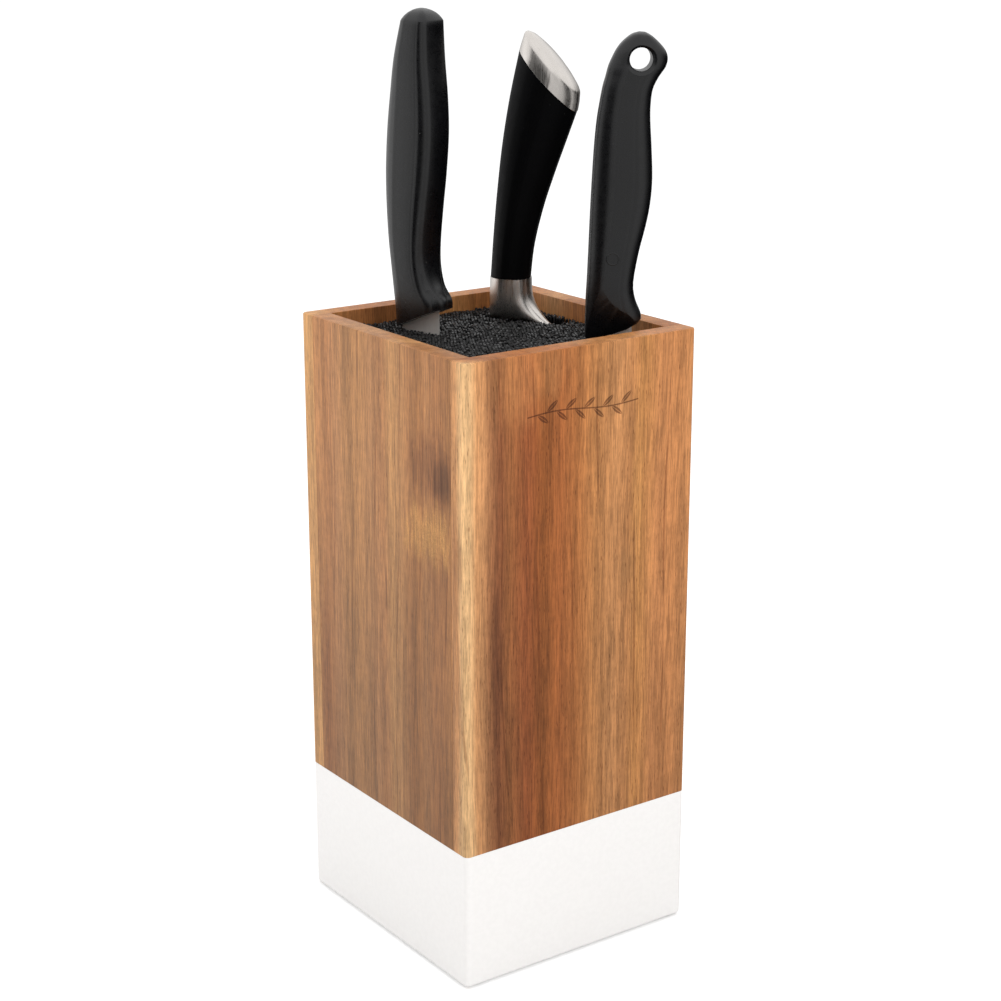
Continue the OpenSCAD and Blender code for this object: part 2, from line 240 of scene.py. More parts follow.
def smooth(stations: Sequence[Station], steps: int) -> list[Station]:
    """Puts stations on a smooth curve through the given ones.

    Args:
        stations: The chosen stations, from the foot up.
        steps: How many stations each gap becomes.

    Returns:
        The longer list, with the same first and last station.
    """
    rows = np.array([s.row() for s in stations])
    out = []
    for i in range(len(rows) - 1):
        a, b = rows[max(i - 1, 0)], rows[i]
        c, d = rows[i + 1], rows[min(i + 2, len(rows) - 1)]
        for k in range(steps):
            t = k / steps
            bend = (2 * a - 5 * b + 4 * c - d) * t * t + (3 * b - a - 3 * c + d) * t**3
            out.append(Station(*(0.5 * (2 * b + (c - a) * t + bend))))
    return [*out, stations[-1]]


@dataclass(frozen=True)
class Outline:
    """The shape of a cross-section, from -1 to 1 along and across.

    Attributes:
        back_round: Size of the rounding at the back end.
        edge_round: Size of the rounding at the edge's end.
        crown: How much the broad faces swell towards their middle.
        end_crown: How much the narrow faces swell towards their middle.
        segments: Facets in one rounding.
        cuts: Extra columns along a broad face.
    """

    back_round: float
    edge_round: float
    crown: float = 0.06
    end_crown: float = 0.05
    segments: int = 6
    cuts: int = 9

    def draw(self, name: str) -> Piece:
        """Draws the cross-section as one flat face, one millimetre from centre to side.

        Args:
            name: The piece's name.

        Returns:
            The object, in edit mode.
        """
        put_down()
        bpy.ops.mesh.primitive_plane_add(size=2 * MM)
        piece = begin(name)
        for end, size in ((-1, self.back_round), (1, self.edge_round)):
            pick(piece, Part.VERTS, lambda p, _: p.x * end > 0.99)
            bpy.ops.mesh.bevel(
                offset=size * MM, segments=self.segments, affect="VERTICES", profile=0.5
            )
        pick(piece, Part.EDGES, lambda p, d: abs(p.y) > 0.99 and abs(d.x) > 0.9)
        bpy.ops.mesh.subdivide(number_cuts=self.cuts)
        pick(piece, Part.EDGES, lambda p, d: abs(p.x) > 0.99 and abs(d.y) > 0.9)
        bpy.ops.mesh.subdivide(number_cuts=3)
        for axis, swell in ((0, self.crown), (1, self.end_crown)):
            mesh = bmesh.from_edit_mesh(piece.data)
            for place in sorted({round(v.co[axis] / MM, 4) for v in mesh.verts}):
                pick(piece, Part.VERTS, lambda p, _: abs(p[axis] - place) < 1e-3)
                size = 1 - swell * place**2
                scale_by(*((size, 1) if axis else (1, size)), 1, (0, 0, 0))
        return piece


@dataclass(frozen=True)
class BladeOutline:
    """A blade's cross-section: a flat back, flat cheeks, and bevels that meet at the edge.

    Attributes:
        grind: Where the bevels start, from -1 at the back to 1 at the edge.
        edge: Share of the thickness left at the edge.
    """

    grind: float = -0.2
    edge: float = 0.1

    def draw(self, name: str) -> Piece:
        """Draws the cross-section as one flat face and leaves it open for editing.

        Args:
            name: The piece's name.

        Returns:
            The object, in edit mode.
        """
        put_down()
        bpy.ops.mesh.primitive_plane_add(size=2 * MM)
        piece = begin(name)
        pick(piece, Part.EDGES, lambda p, d: abs(d.x) > 0.9)
        bpy.ops.mesh.subdivide(number_cuts=1)
        pick(piece, Part.VERTS, lambda p, _: abs(p.x) < 0.1)
        bpy.ops.transform.translate(value=(self.grind * MM, 0, 0))
        pick(piece, Part.VERTS, lambda p, _: p.x > 0.9)
        scale_by(1, self.edge, 1, (0, 0, 0))
        pick(piece, Part.VERTS, lambda p, _: p.x < -0.9)
        bpy.ops.mesh.bevel(offset=0.1 * MM, segments=2, affect="VERTICES")
        return piece


def loft(
    name: str, outline: Union[Outline, BladeOutline], stations: Sequence[Station]
) -> Piece:
    """Extrudes a cross-section from station to station, as one closed solid.

    Args:
        name: The piece's name.
        outline: The shape of the cross-section.
        stations: The sections, from the foot up.

    Returns:
        The object, in edit mode, in the knife's own frame.
    """
    piece = outline.draw(name)
    pick_all()
    middle, length, half, tilt = (0.0, 0.0, 0.0), 1.0, 1.0, 0.0
    ends = {"nose": 1.0, "spine": 1.0}
    for number, s in enumerate(stations):
        goal = ((s.back_x + s.edge_x) / 2, 0.0, (s.back_z + s.edge_z) / 2)
        along = Vector((s.edge_x - s.back_x, 0, s.edge_z - s.back_z)) / 2
        step = [b - a for a, b in zip(middle, goal)]
        if number:
            extrude(*step)
        else:
            bpy.ops.transform.translate(value=[c * MM for c in step])
        centre = [c * MM for c in goal]
        turn = {"orient_axis": "Y", "orient_type": "GLOBAL", "center_override": centre}
        bpy.ops.transform.rotate(value=-tilt, **turn)
        scale_by(along.length / length, s.half / half, 1, goal)
        for end, way in (("nose", 1), ("spine", -1)):
            share = getattr(s, end)
            if abs(share - ends[end]) > 1e-4:
                ring = bmesh.from_edit_mesh(piece.data)
                held = [v for v in ring.verts if v.select]
                for v in held:
                    reach = way * (v.co.x / MM - goal[0]) / along.length
                    v.select_set(reach > 0.9)
                ring.select_flush_mode()
                scale_by(1, share / ends[end], 1, goal)
                for v in held:
                    v.select_set(True)
                ring.select_flush_mode()
                ends[end] = share
        tilt = math.atan2(along.z, along.x)
        bpy.ops.transform.rotate(value=tilt, **turn)
        middle, length, half = goal, along.length, s.half
    return piece


def turned(name: str, profile: Sequence[tuple[float, float]], sides: int = 64) -> Piece:
    """Turns a profile round the Z axis, as on a lathe.

    Args:
        name: The piece's name.
        profile: Radius and height of each ring, from the foot up.
        sides: Facets round the axis.

    Returns:
        The closed object, out of edit mode, with its axis on Z.
    """
    put_down()
    bpy.ops.mesh.primitive_circle_add(
        vertices=sides, radius=profile[0][0] * MM, fill_type="NGON", location=(0, 0, profile[0][1] * MM)
    )
    piece = begin(name)
    for (r0, z0), (r1, z1) in zip(profile, profile[1:]):
        extrude(z=z1 - z0)
        scale_by(r1 / r0, r1 / r0, 1, (0, 0, z1))
    return close_up(piece)


def lay_across(tool: Piece, x: float, z: float) -> None:
    """Lays a turned tool's axis along Y at a place given in millimetres."""
    tool.rotation_euler = (math.radians(90), 0, 0)
    tool.location = (x * MM, 0, z * MM)
    take_up(tool)
    bpy.ops.object.transform_apply(location=True, rotation=True, scale=True)


# ---- node graphs ---------------------------------------------------------------------------------


def paint(code: str) -> tuple[float, float, float, float]:
    """Turns a colour code such as #c08a55 into linear red, green, blue and alpha.

    Args:
        code: The colour code.

    Returns:
        The linear colour.
    """
    parts = [int(code[i : i + 2], 16) / 255 for i in (1, 3, 5)]
    linear = [p / 12.92 if p <= 0.04045 else ((p + 0.055) / 1.055) ** 2.4 for p in parts]
    return (*linear, 1.0)


@dataclass
class Graph:
    """Adds nodes to one node tree.

    Attributes:
        tree: The tree of a material, a group or the world.
    """

    tree: bpy.types.NodeTree

    def add(self, kind: str, **settings) -> bpy.types.Node:
        """Adds a node of Blender's kind and sets values on it."""
        node = self.tree.nodes.new(kind)
        for key, value in settings.items():
            setattr(node, key, value)
        node.location.x = 180.0 * len(self.tree.nodes)
        return node

    def feed(self, socket: Socket, value: Union[Value, Row]) -> None:
        """Links a socket to another one's output, or gives it a plain value."""
        if isinstance(value, bpy.types.NodeSocket):
            self.tree.links.new(value, socket)
        elif socket.type == "VECTOR":
            socket.default_value = value[:3]
        else:
            socket.default_value = value

    def math(self, operation: str, *values: Value, clamp: bool = False) -> Socket:
        """Adds a Math node on its values and gives its result."""
        node = self.add("ShaderNodeMath", operation=operation, use_clamp=clamp)
        for socket, value in zip(node.inputs, values):
            self.feed(socket, value)
        return node.outputs[0]

    def times(self, *values: Value, clamp: bool = False) -> Socket:
        """Multiplies two numbers."""
        return self.math("MULTIPLY", *values, clamp=clamp)

    def over(self, *values: Value, clamp: bool = False) -> Socket:
        """Divides one number by another."""
        return self.math("DIVIDE", *values, clamp=clamp)

    def plus(self, *values: Value) -> Socket:
        """Adds two numbers."""
        return self.math("ADD", *values)

    def minus(self, *values: Value) -> Socket:
        """Takes one number from another."""
        return self.math("SUBTRACT", *values)

    def size_of(self, value: Value) -> Socket:
        """A number without its sign."""
        return self.math("ABSOLUTE", value)

    def vector(self, operation: str, *values: Row) -> Socket:
        """Adds a Vector Math node on its vectors and gives its vector."""
        node = self.add("ShaderNodeVectorMath", operation=operation)
        for socket, value in zip(node.inputs, values):
            self.feed(socket, value)
        return node.outputs["Vector"]

    def scaled(self, colour: Row, gain: Value) -> Socket:
        """Multiplies a colour or a vector by a number."""
        node = self.add("ShaderNodeVectorMath", operation="SCALE")
        self.feed(node.inputs[0], colour)
        self.feed(node.inputs["Scale"], gain)
        return node.outputs["Vector"]

    def sized(self, vector: Row, *sizes: float) -> Socket:
        """Divides a vector by the size of a pattern's cells along X, Y and Z."""
        return self.vector("MULTIPLY", vector, [1 / size for size in sizes])

    def split(self, vector: Row) -> list[Socket]:
        """Splits a vector into its three numbers."""
        node = self.add("ShaderNodeSeparateXYZ")
        self.feed(node.inputs[0], vector)
        return list(node.outputs)

    def join(self, x: Value, y: Value, z: Value) -> Socket:
        """Joins three numbers to a vector."""
        node = self.add("ShaderNodeCombineXYZ")
        for socket, value in zip(node.inputs, (x, y, z)):
            self.feed(socket, value)
        return node.outputs[0]

    def spread(self, value: Value, low: float, high: float, start: Value, end: Value) -> Socket:
        """Maps a number from low and high smoothly to start and end, and holds it there."""
        node = self.add("ShaderNodeMapRange", interpolation_type="SMOOTHSTEP")
        for socket, v in zip(node.inputs, (value, low, high, start, end)):
            self.feed(socket, v)
        return node.outputs[0]

    def noise(
        self, vector: Row, detail: float = 2.0, rough: float = 0.5, distortion: float = 0.0
    ) -> Socket:
        """A noise of about 0 to 1 whose cells are one unit of the vector."""
        node = self.add("ShaderNodeTexNoise")
        settings = {"Scale": 1.0, "Detail": detail, "Roughness": rough, "Distortion": distortion}
        for key, value in {"Vector": vector, **settings}.items():
            self.feed(node.inputs[key], value)
        return node.outputs[0]

    def cells(self, vector: Row) -> bpy.types.Node:
        """A Voronoi texture whose cells are one unit of the vector."""
        node = self.add("ShaderNodeTexVoronoi")
        self.feed(node.inputs["Vector"], vector)
        self.feed(node.inputs["Scale"], 1.0)
        return node

    def ramp(
        self, value: Value, stops: Sequence[tuple[float, tuple]], ease: str = "LINEAR"
    ) -> Socket:
        """A colour ramp from 0 to 1 with the given stops."""
        node = self.add("ShaderNodeValToRGB")
        node.color_ramp.interpolation = ease
        bar = node.color_ramp.elements
        for i, (place, colour) in enumerate(stops):
            stop = bar[i] if i < 2 else bar.new(place)
            stop.position = place
            stop.color = colour
        self.feed(node.inputs[0], value)
        return node.outputs[0]

    def mix(self, share: Value, a: Row, b: Row) -> Socket:
        """Mixes two colours."""
        node = self.add("ShaderNodeMix", data_type="RGBA")
        self.feed(node.inputs[0], share)
        self.feed(node.inputs[6], a)
        self.feed(node.inputs[7], b)
        return node.outputs[2]

    def group(self, name: str, **values) -> bpy.types.Node:
        """Places a node group and feeds its inputs, with spaces for underscores."""
        node = self.add("ShaderNodeGroup")
        node.node_tree = bpy.data.node_groups[name]
        for key, value in values.items():
            self.feed(node.inputs[key.replace("_", " ")], value)
        return node


def new_group(name: str, inputs: dict[str, float], outputs: Sequence[str]) -> tuple:
    """Starts a node group.

    Args:
        name: The group's name.
        inputs: Each number it takes with its first value; Vector is always there.
        outputs: The names of the numbers it gives.

    Returns:
        The graph to build in, the group's input node and its output node.
    """
    tree = bpy.data.node_groups.new(name, "ShaderNodeTree")
    tree.interface.new_socket("Vector", in_out="INPUT", socket_type="NodeSocketVector")
    for key, value in inputs.items():
        made = tree.interface.new_socket(key, in_out="INPUT", socket_type="NodeSocketFloat")
        made.default_value = value
    for key in outputs:
        tree.interface.new_socket(key, in_out="OUTPUT", socket_type="NodeSocketFloat")
    graph = Graph(tree)
    return graph, graph.add("NodeGroupInput").outputs, graph.add("NodeGroupOutput").inputs


def make_groups() -> None:
    """Builds every shared effect once."""
    wood_grain()
    soft_patch()
    moulded_skin()
    brushing()
    handling_wear()
    leaf_mark()


def wood_grain() -> None:
    """Growth bands, streaks, fibres, pores and ripple of a board. X runs across it and Z along."""
    g, i, o = new_group(
        "Wood Grain",
        {"Seed": 0.0, "Wander": 3.0, "Pore Size": 1.0},
        ["Across", "Streak", "Fibre", "Pores", "Ripple", "Lines"],
    )
    shift = g.join(i["Seed"], g.times(i["Seed"], 1.7), g.times(i["Seed"], 5.3))
    at = g.vector("ADD", g.scaled(i["Vector"], 1 / MM), shift)
    slow = g.noise(g.sized(at, 34, 34, 150), detail=1.0)
    quick = g.noise(g.sized(at, 9, 9, 60), detail=1.0)
    sway = g.plus(g.minus(slow, 0.5), g.times(g.minus(quick, 0.5), 0.28))
    sway = g.times(sway, i["Wander"])
    x, y, z = g.split(at)
    across = g.plus(x, sway)
    bent = g.join(across, y, z)
    streak = g.noise(g.sized(bent, 3.1, 3.1, 80), detail=4.0, rough=0.68)
    fibre = g.noise(g.sized(bent, 0.4, 0.4, 9), detail=3.0, rough=0.75)
    width = g.times(i["Pore Size"], 0.95)
    length = g.times(i["Pore Size"], 6.5)
    grid = g.vector("DIVIDE", bent, g.join(width, width, length))
    dashes = g.cells(grid).outputs["Distance"]
    small = g.cells(g.sized(bent, 0.75, 0.75, 4.2)).outputs["Distance"]
    long_pores = g.spread(dashes, 0.08, 0.19, 1.0, 0.0)
    short_pores = g.spread(small, 0.08, 0.24, 0.7, 0.0)
    crowd = g.spread(streak, 0.42, 0.62, 1.0, 0.25)
    pores = g.times(g.math("MAXIMUM", long_pores, short_pores), crowd)
    ripple = g.noise(g.sized(at, 7, 7, 3.2), detail=2.0, distortion=0.6)
    leaning = g.plus(across, g.times(z, 0.028))
    leaning = g.plus(leaning, g.times(slow, 9.0))
    ring = g.math("FRACT", g.over(leaning, 14.5))
    thin = g.spread(g.size_of(g.minus(ring, 0.5)), 0.008, 0.034, 1.0, 0.0)
    fade = g.noise(g.sized(at, 12, 12, 45), detail=1.0)
    g.feed(o["Lines"], g.times(thin, g.spread(fade, 0.42, 0.6, 0.0, 1.0)))
    g.feed(o["Across"], g.minus(across, i["Seed"]))
    for name, value in zip(("Streak", "Fibre", "Pores", "Ripple"), (streak, fibre, pores, ripple)):
        g.feed(o[name], value)


def soft_patch() -> None:
    """A soft oval stain with a ragged rim, in millimetres."""
    names = ["Centre X", "Centre Z", "Width", "Height", "Ragged", "Seed"]
    g, i, o = new_group("Soft Patch", dict.fromkeys(names, 1.0), ["Mask"])
    x, y, z = g.split(g.scaled(i["Vector"], 1 / MM))
    u = g.over(g.minus(x, i["Centre X"]), i["Width"])
    w = g.over(g.minus(z, i["Centre Z"]), i["Height"])
    far = g.math("SQRT", g.plus(g.times(u, u), g.times(w, w)))
    spot = g.join(g.plus(x, i["Seed"]), y, z)
    rag = g.noise(g.sized(spot, 4.5, 4.5, 11), detail=3.0, rough=0.6)
    rag = g.times(g.minus(rag, 0.5), i["Ragged"])
    g.feed(o["Mask"], g.spread(g.plus(far, rag), 0.25, 1.15, 1.0, 0.0))


def moulded_skin() -> None:
    """The fine spark-eroded skin of a moulded part, with a few bright specks of dust."""
    g, i, o = new_group("Moulded Skin", {"Grain": 0.35}, ["Height", "Specks", "Cloud"])
    at = g.scaled(i["Vector"], 1 / MM)
    fine = g.noise(g.scaled(at, g.over(1.0, i["Grain"])), detail=2.0, rough=0.65)
    broad = g.noise(g.scaled(at, 1 / 2.6), detail=3.0, rough=0.6)
    g.feed(o["Height"], g.plus(fine, g.times(broad, 0.8)))
    dust = g.cells(g.scaled(at, 1 / 5.5))
    lucky = g.math("GREATER_THAN", g.split(dust.outputs["Color"])[0], 0.55)
    specks = g.spread(dust.outputs["Distance"], 0.02, 0.05, 1.0, 0.0)
    g.feed(o["Specks"], g.times(specks, lucky))
    g.feed(o["Cloud"], g.noise(g.scaled(at, 1 / 14), detail=3.0, rough=0.6))


def brushing() -> None:
    """Fine brush lines that run along Z, and slow bands across them."""
    g, i, o = new_group("Brushing", {"Line": 0.12, "Length": 18.0}, ["Lines", "Bands"])
    at = g.scaled(i["Vector"], 1 / MM)
    pull = g.join(i["Line"], i["Line"], i["Length"])
    g.feed(o["Lines"], g.noise(g.vector("DIVIDE", at, pull), detail=3.0, rough=0.7))
    g.feed(o["Bands"], g.noise(g.sized(at, 3.5, 3.5, 16), detail=2.0))


def handling_wear() -> None:
    """Faint rubbed patches and short scratches."""
    g, i, o = new_group("Handling Wear", {"Amount": 0.5, "Seed": 0.0}, ["Rubbed", "Scratches"])
    at = g.vector("ADD", g.scaled(i["Vector"], 1 / MM), g.join(i["Seed"], i["Seed"], i["Seed"]))
    patch = g.noise(g.scaled(at, 1 / 9), detail=4.0, rough=0.65)
    rubbed = g.spread(patch, 0.55, 0.75, 0.0, 1.0)
    thin = g.noise(g.sized(at, 0.3, 0.3, 5), detail=2.0)
    lines = g.times(g.spread(thin, 0.68, 0.76, 0.0, 1.0), rubbed)
    g.feed(o["Rubbed"], g.times(rubbed, i["Amount"]))
    g.feed(o["Scratches"], g.times(lines, i["Amount"]))


# cosine and sine of the 38 degrees that a leaf leans from the stem
LEAF_LEAN = (0.79, 0.61)


def leaf_mark() -> None:
    """A burnt sprig: a thin wavy stem along X with leaves on alternate sides."""
    names = {"Start": -24.0, "Height": 208.0, "Run": 48.0, "Pitch": 8.0, "Leaf": 6.4}
    g, i, o = new_group("Leaf Mark", names, ["Mask"])
    x, _, z = g.split(g.scaled(i["Vector"], 1 / MM))
    t = g.minus(x, i["Start"])
    half_run = g.over(i["Run"], 2.0)
    on_stem = g.math("LESS_THAN", g.size_of(g.minus(t, half_run)), half_run)
    wave = g.times(g.math("SINE", g.times(t, 0.13)), 0.8)
    v = g.minus(g.minus(z, i["Height"]), wave)
    stem = g.times(g.spread(g.size_of(v), 0.16, 0.34, 1.0, 0.0), on_stem)
    leaves = []
    for side, lag in ((1.0, 0.0), (-1.0, 0.5)):
        slid = g.plus(t, g.times(i["Pitch"], lag))
        number = g.math("FLOOR", g.over(slid, i["Pitch"]))
        own = g.minus(slid, g.times(number, i["Pitch"]))
        up = g.times(v, side)
        along = g.plus(g.times(own, LEAF_LEAN[0]), g.times(up, LEAF_LEAN[1]))
        cross = g.minus(g.times(up, LEAF_LEAN[0]), g.times(own, LEAF_LEAN[1]))
        p = g.minus(g.times(g.over(along, i["Leaf"]), 2.0), 1.0)
        body = g.times(g.minus(1.0, g.times(p, p)), 0.95)
        inside = g.minus(body, g.size_of(cross))
        leaf = g.spread(inside, 0.0, 0.16, 0.0, 1.0)
        vein = g.spread(g.size_of(cross), 0.08, 0.2, 0.35, 1.0)
        first = g.math("GREATER_THAN", number, 0.5)
        leaf_end = g.times(g.plus(number, 1.0), i["Pitch"])
        last = g.math("LESS_THAN", leaf_end, g.plus(i["Run"], 0.5))
        leaves.append(g.times(g.times(leaf, vein), g.times(first, last)))
    g.feed(o["Mask"], g.math("MAXIMUM", stem, g.math("MAXIMUM", *leaves)))


# ---- finishes ------------------------------------------------------------------------------------


def new_material(name: str) -> tuple[bpy.types.Material, Graph, bpy.types.Node]:
    """Starts a material.

    Args:
        name: The material's name.

    Returns:
        The material, its graph and its Principled BSDF.
    """
    made = bpy.data.materials.new(name)
    made.use_nodes = True
    graph = Graph(made.node_tree)
    return made, graph, made.node_tree.nodes["Principled BSDF"]


def place_on(graph: Graph) -> Socket:
    """The place on a piece, in metres, in the frame of the whole object."""
    return graph.add("ShaderNodeTexCoord").outputs["Object"]


def raise_by(graph: Graph, shader: bpy.types.Node, height: Value, depth: float, strength: float) -> None:
    """Feeds a height, times a depth in millimetres, to a shader's normal."""
    bump = graph.add("ShaderNodeBump")
    bump.inputs["Strength"].default_value = strength
    bump.inputs["Distance"].default_value = depth * MM
    graph.feed(bump.inputs["Height"], height)
    graph.feed(shader.inputs["Normal"], bump.outputs[0])


class Lay(Enum):
    """Which axes run across, through and along a board."""

    FACING_Y = "XYZ"
    FACING_X = "YXZ"
    FLAT = "YZX"


@dataclass(frozen=True)
class Stain:
    """A soft patch of another colour on a board.

    Attributes:
        across: Its centre across the board.
        height: Its centre along the board.
        width: Half its width.
        length: Half its length.
        colour: Its colour code.
        strength: How far it covers the board's own colour.
        ragged: How ragged its rim is.
        curled: True where the figure is curled as round a knot.
    """

    across: float
    height: float
    width: float
    length: float
    colour: str
    strength: float = 0.7
    ragged: float = 0.8
    curled: bool = False


# what pores and growth lines, and the burnt mark, leave of the wood's red, green and blue
PORE_TINT = (0.42, 0.30, 0.24)
BURNT_TINT = (0.30, 0.24, 0.22)


@dataclass(frozen=True)
class Acacia:
    """Oiled acacia.

    Attributes:
        name: The material's name.
        lay: Which way the board lies.
        bands: Places across the board, and the colour there.
        seed: Moves the grain.
        face: Where the board's outer face lies, along its thickness.
        lean: How far the bands lean per millimetre of thickness.
        foot: Painted shade at the foot of the board, darker as if lit from above.
        rim: Painted shade at its rim; above 1 it paints light.
        stains: Patches of other colours.
        pores: Strength of the pores.
        lines: Strength of the dark lines between two years' growth.
        end_grain: True for faces that cut across the fibres.
        mark: True where the burnt sprig is.
        warmth: What red, green and blue are multiplied by.
    """

    name: str
    lay: Lay
    bands: tuple[tuple[float, str], ...]
    seed: float
    face: float = 0.0
    lean: float = 0.0
    foot: float = 0.86
    rim: float = 1.06
    stains: tuple[Stain, ...] = ()
    pores: float = 0.6
    lines: float = 0.5
    end_grain: bool = False
    mark: bool = False
    warmth: tuple[float, float, float] = (1.04, 0.97, 0.79)

    def make(self) -> bpy.types.Material:
        """Builds the material."""
        made, g, shader = new_material(self.name)
        axes = dict(zip("XYZ", g.split(place_on(g))))
        across, through, along = (axes[a] for a in self.lay.value)
        at = g.join(across, through, along)
        look = at
        if self.end_grain:
            look = g.join(across, along, g.times(through, 9.0))
        grain = g.group("Wood Grain", Vector=look, Seed=self.seed, Wander=5.0).outputs
        depth = g.size_of(g.minus(g.over(through, MM), self.face))
        place = g.plus(grain["Across"], g.times(depth, self.lean))
        low, high = self.bands[0][0], self.bands[-1][0]
        share = g.over(g.minus(place, low), high - low, clamp=True)
        stops = [((p - low) / (high - low), paint(c)) for p, c in self.bands]
        colour = g.ramp(share, stops)
        height = g.over(along, MM)
        for number, s in enumerate(self.stains):
            mask = g.group(
                "Soft Patch", Vector=at, Centre_X=s.across, Centre_Z=s.height, Width=s.width,
                Height=s.length, Ragged=s.ragged, Seed=self.seed + 13.0 * number,
            ).outputs[0]
            tone = paint(s.colour)
            if s.curled:
                curl = g.noise(g.vector("MULTIPLY", at, (900.0, 900.0, 700.0)), detail=2.0, distortion=2.5)
                tone = g.scaled(tone, g.spread(curl, 0.35, 0.65, 0.82, 1.18))
            torn = g.times(mask, g.spread(grain["Streak"], 0.25, 0.6, 1.15, 0.7))
            colour = g.mix(g.times(torn, s.strength, clamp=True), colour, tone)
        # painted shade: the colour darkens from the rim down to the foot, as if lit from above
        painted_shade = g.spread(height, 52.0, 215.0, self.foot, self.rim)
        streak = g.spread(grain["Streak"], 0.30, 0.70, 0.78, 1.20)
        fibre = g.spread(grain["Fibre"], 0.33, 0.67, 0.70, 1.23)
        ripple = g.spread(grain["Ripple"], 0.30, 0.70, 0.96, 1.04)
        for tint in (painted_shade, streak, fibre, ripple):
            colour = g.scaled(colour, tint)
        colour = g.vector("MULTIPLY", colour, self.warmth)
        dark = g.vector("MULTIPLY", colour, PORE_TINT)
        pores = g.times(grain["Pores"], self.pores)
        colour = g.mix(g.times(grain["Lines"], self.lines), colour, dark)
        colour = g.mix(pores, colour, dark)
        if self.end_grain:
            cut = g.scaled(paint("#b3988a"), g.spread(grain["Streak"], 0.3, 0.7, 0.6, 1.1))
            colour = g.mix(0.6, colour, cut)
        if self.mark:
            burnt = g.group("Leaf Mark", Vector=at).outputs[0]
            burnt = g.times(burnt, g.math("LESS_THAN", depth, 0.4))
            scorch = g.vector("MULTIPLY", colour, BURNT_TINT)
            colour = g.mix(g.times(burnt, 0.85), colour, scorch)
        g.feed(shader.inputs["Base Color"], colour)
        rough = g.spread(grain["Fibre"], 0.2, 0.8, 0.40, 0.54)
        g.feed(shader.inputs["Roughness"], g.plus(rough, g.times(pores, 0.2)))
        shader.inputs["Specular IOR Level"].default_value = 0.26
        relief = g.minus(g.times(grain["Fibre"], 0.35), pores)
        raise_by(g, shader, relief, 0.05, 0.6)
        return made


@dataclass(frozen=True)
class Lacquer:
    """Satin paint over wood."""

    name: str = "white_lacquer"
    colour: str = "#f4f2f0"

    def make(self) -> bpy.types.Material:
        """Builds the material."""
        made, g, shader = new_material(self.name)
        at = place_on(g)
        grain = g.group("Wood Grain", Vector=at, Seed=31.0, Wander=5.0).outputs
        peel = g.noise(g.scaled(at, 1 / (1.8 * MM)), detail=2.0)
        wear = g.group("Handling Wear", Vector=at, Amount=0.4, Seed=7.0).outputs
        colour = g.scaled(paint(self.colour), g.spread(peel, 0.3, 0.7, 0.985, 1.01))
        colour = g.mix(g.times(wear["Scratches"], 0.25), colour, paint("#dedad6"))
        g.feed(shader.inputs["Base Color"], colour)
        rough = g.spread(peel, 0.2, 0.8, 0.34, 0.42)
        g.feed(shader.inputs["Roughness"], g.plus(rough, g.times(wear["Rubbed"], 0.1)))
        relief = g.plus(g.times(peel, 0.5), g.times(grain["Fibre"], 0.25))
        raise_by(g, shader, relief, 0.03, 0.35)
        return made


@dataclass(frozen=True)
class Moulded:
    """Moulded plastic or rubber.

    Attributes:
        name: The material's name.
        colour: Its colour code.
        rough: Roughness.
        shine: Specular level.
        grain: Size of the skin's grain.
        relief: Height of the skin's grain.
        wear: How rubbed it is.
        dust: How bright the specks of dust are.
    """

    name: str
    colour: str
    rough: float = 0.42
    shine: float = 0.5
    grain: float = 0.35
    relief: float = 0.02
    wear: float = 0.4
    dust: float = 0.5

    def make(self) -> bpy.types.Material:
        """Builds the material."""
        made, g, shader = new_material(self.name)
        at = place_on(g)
        skin = g.group("Moulded Skin", Vector=at, Grain=self.grain).outputs
        wear = g.group("Handling Wear", Vector=at, Amount=self.wear, Seed=3.0).outputs
        colour = g.scaled(paint(self.colour), g.spread(skin["Cloud"], 0.3, 0.7, 0.8, 1.25))
        light = g.plus(g.times(skin["Specks"], self.dust), g.times(wear["Scratches"], 0.25))
        colour = g.mix(g.times(light, 0.5, clamp=True), colour, paint("#8c8a88"))
        g.feed(shader.inputs["Base Color"], colour)
        rough = g.spread(skin["Height"], 0.6, 1.2, self.rough - 0.05, self.rough + 0.06)
        g.feed(shader.inputs["Roughness"], g.minus(rough, g.times(wear["Rubbed"], 0.07)))
        shader.inputs["Specular IOR Level"].default_value = self.shine
        raise_by(g, shader, skin["Height"], self.relief, 0.5)
        return made


@dataclass(frozen=True)
class Steel:
    """Brushed or ground stainless steel.

    Attributes:
        name: The material's name.
        colour: Its colour code.
        rough: Roughness.
        line: Width of a brush line.
        length: Length of a brush line.
        relief: Depth of the brush lines.
        metal: How metallic it is; the rest is a pale diffuse colour, partly the scatter of ground steel and
            partly a painted reflection that keeps a blade bright where its gloss sees only the dark rods.
    """

    name: str
    colour: str
    rough: float = 0.28
    line: float = 0.14
    length: float = 16.0
    relief: float = 0.004
    metal: float = 1.0

    def make(self) -> bpy.types.Material:
        """Builds the material."""
        made, g, shader = new_material(self.name)
        at = place_on(g)
        brush = g.group("Brushing", Vector=at, Line=self.line, Length=self.length).outputs
        wear = g.group("Handling Wear", Vector=at, Amount=0.5, Seed=11.0).outputs
        lines = g.spread(brush["Lines"], 0.3, 0.7, 0.93, 1.04)
        tone = g.times(lines, g.spread(brush["Bands"], 0.3, 0.7, 0.97, 1.03))
        g.feed(shader.inputs["Base Color"], g.scaled(paint(self.colour), tone))
        shader.inputs["Metallic"].default_value = self.metal
        rough = g.spread(brush["Lines"], 0.25, 0.75, self.rough - 0.05, self.rough + 0.09)
        g.feed(shader.inputs["Roughness"], g.plus(rough, g.times(wear["Scratches"], 0.12)))
        raise_by(g, shader, brush["Lines"], self.relief, 0.6)
        return made


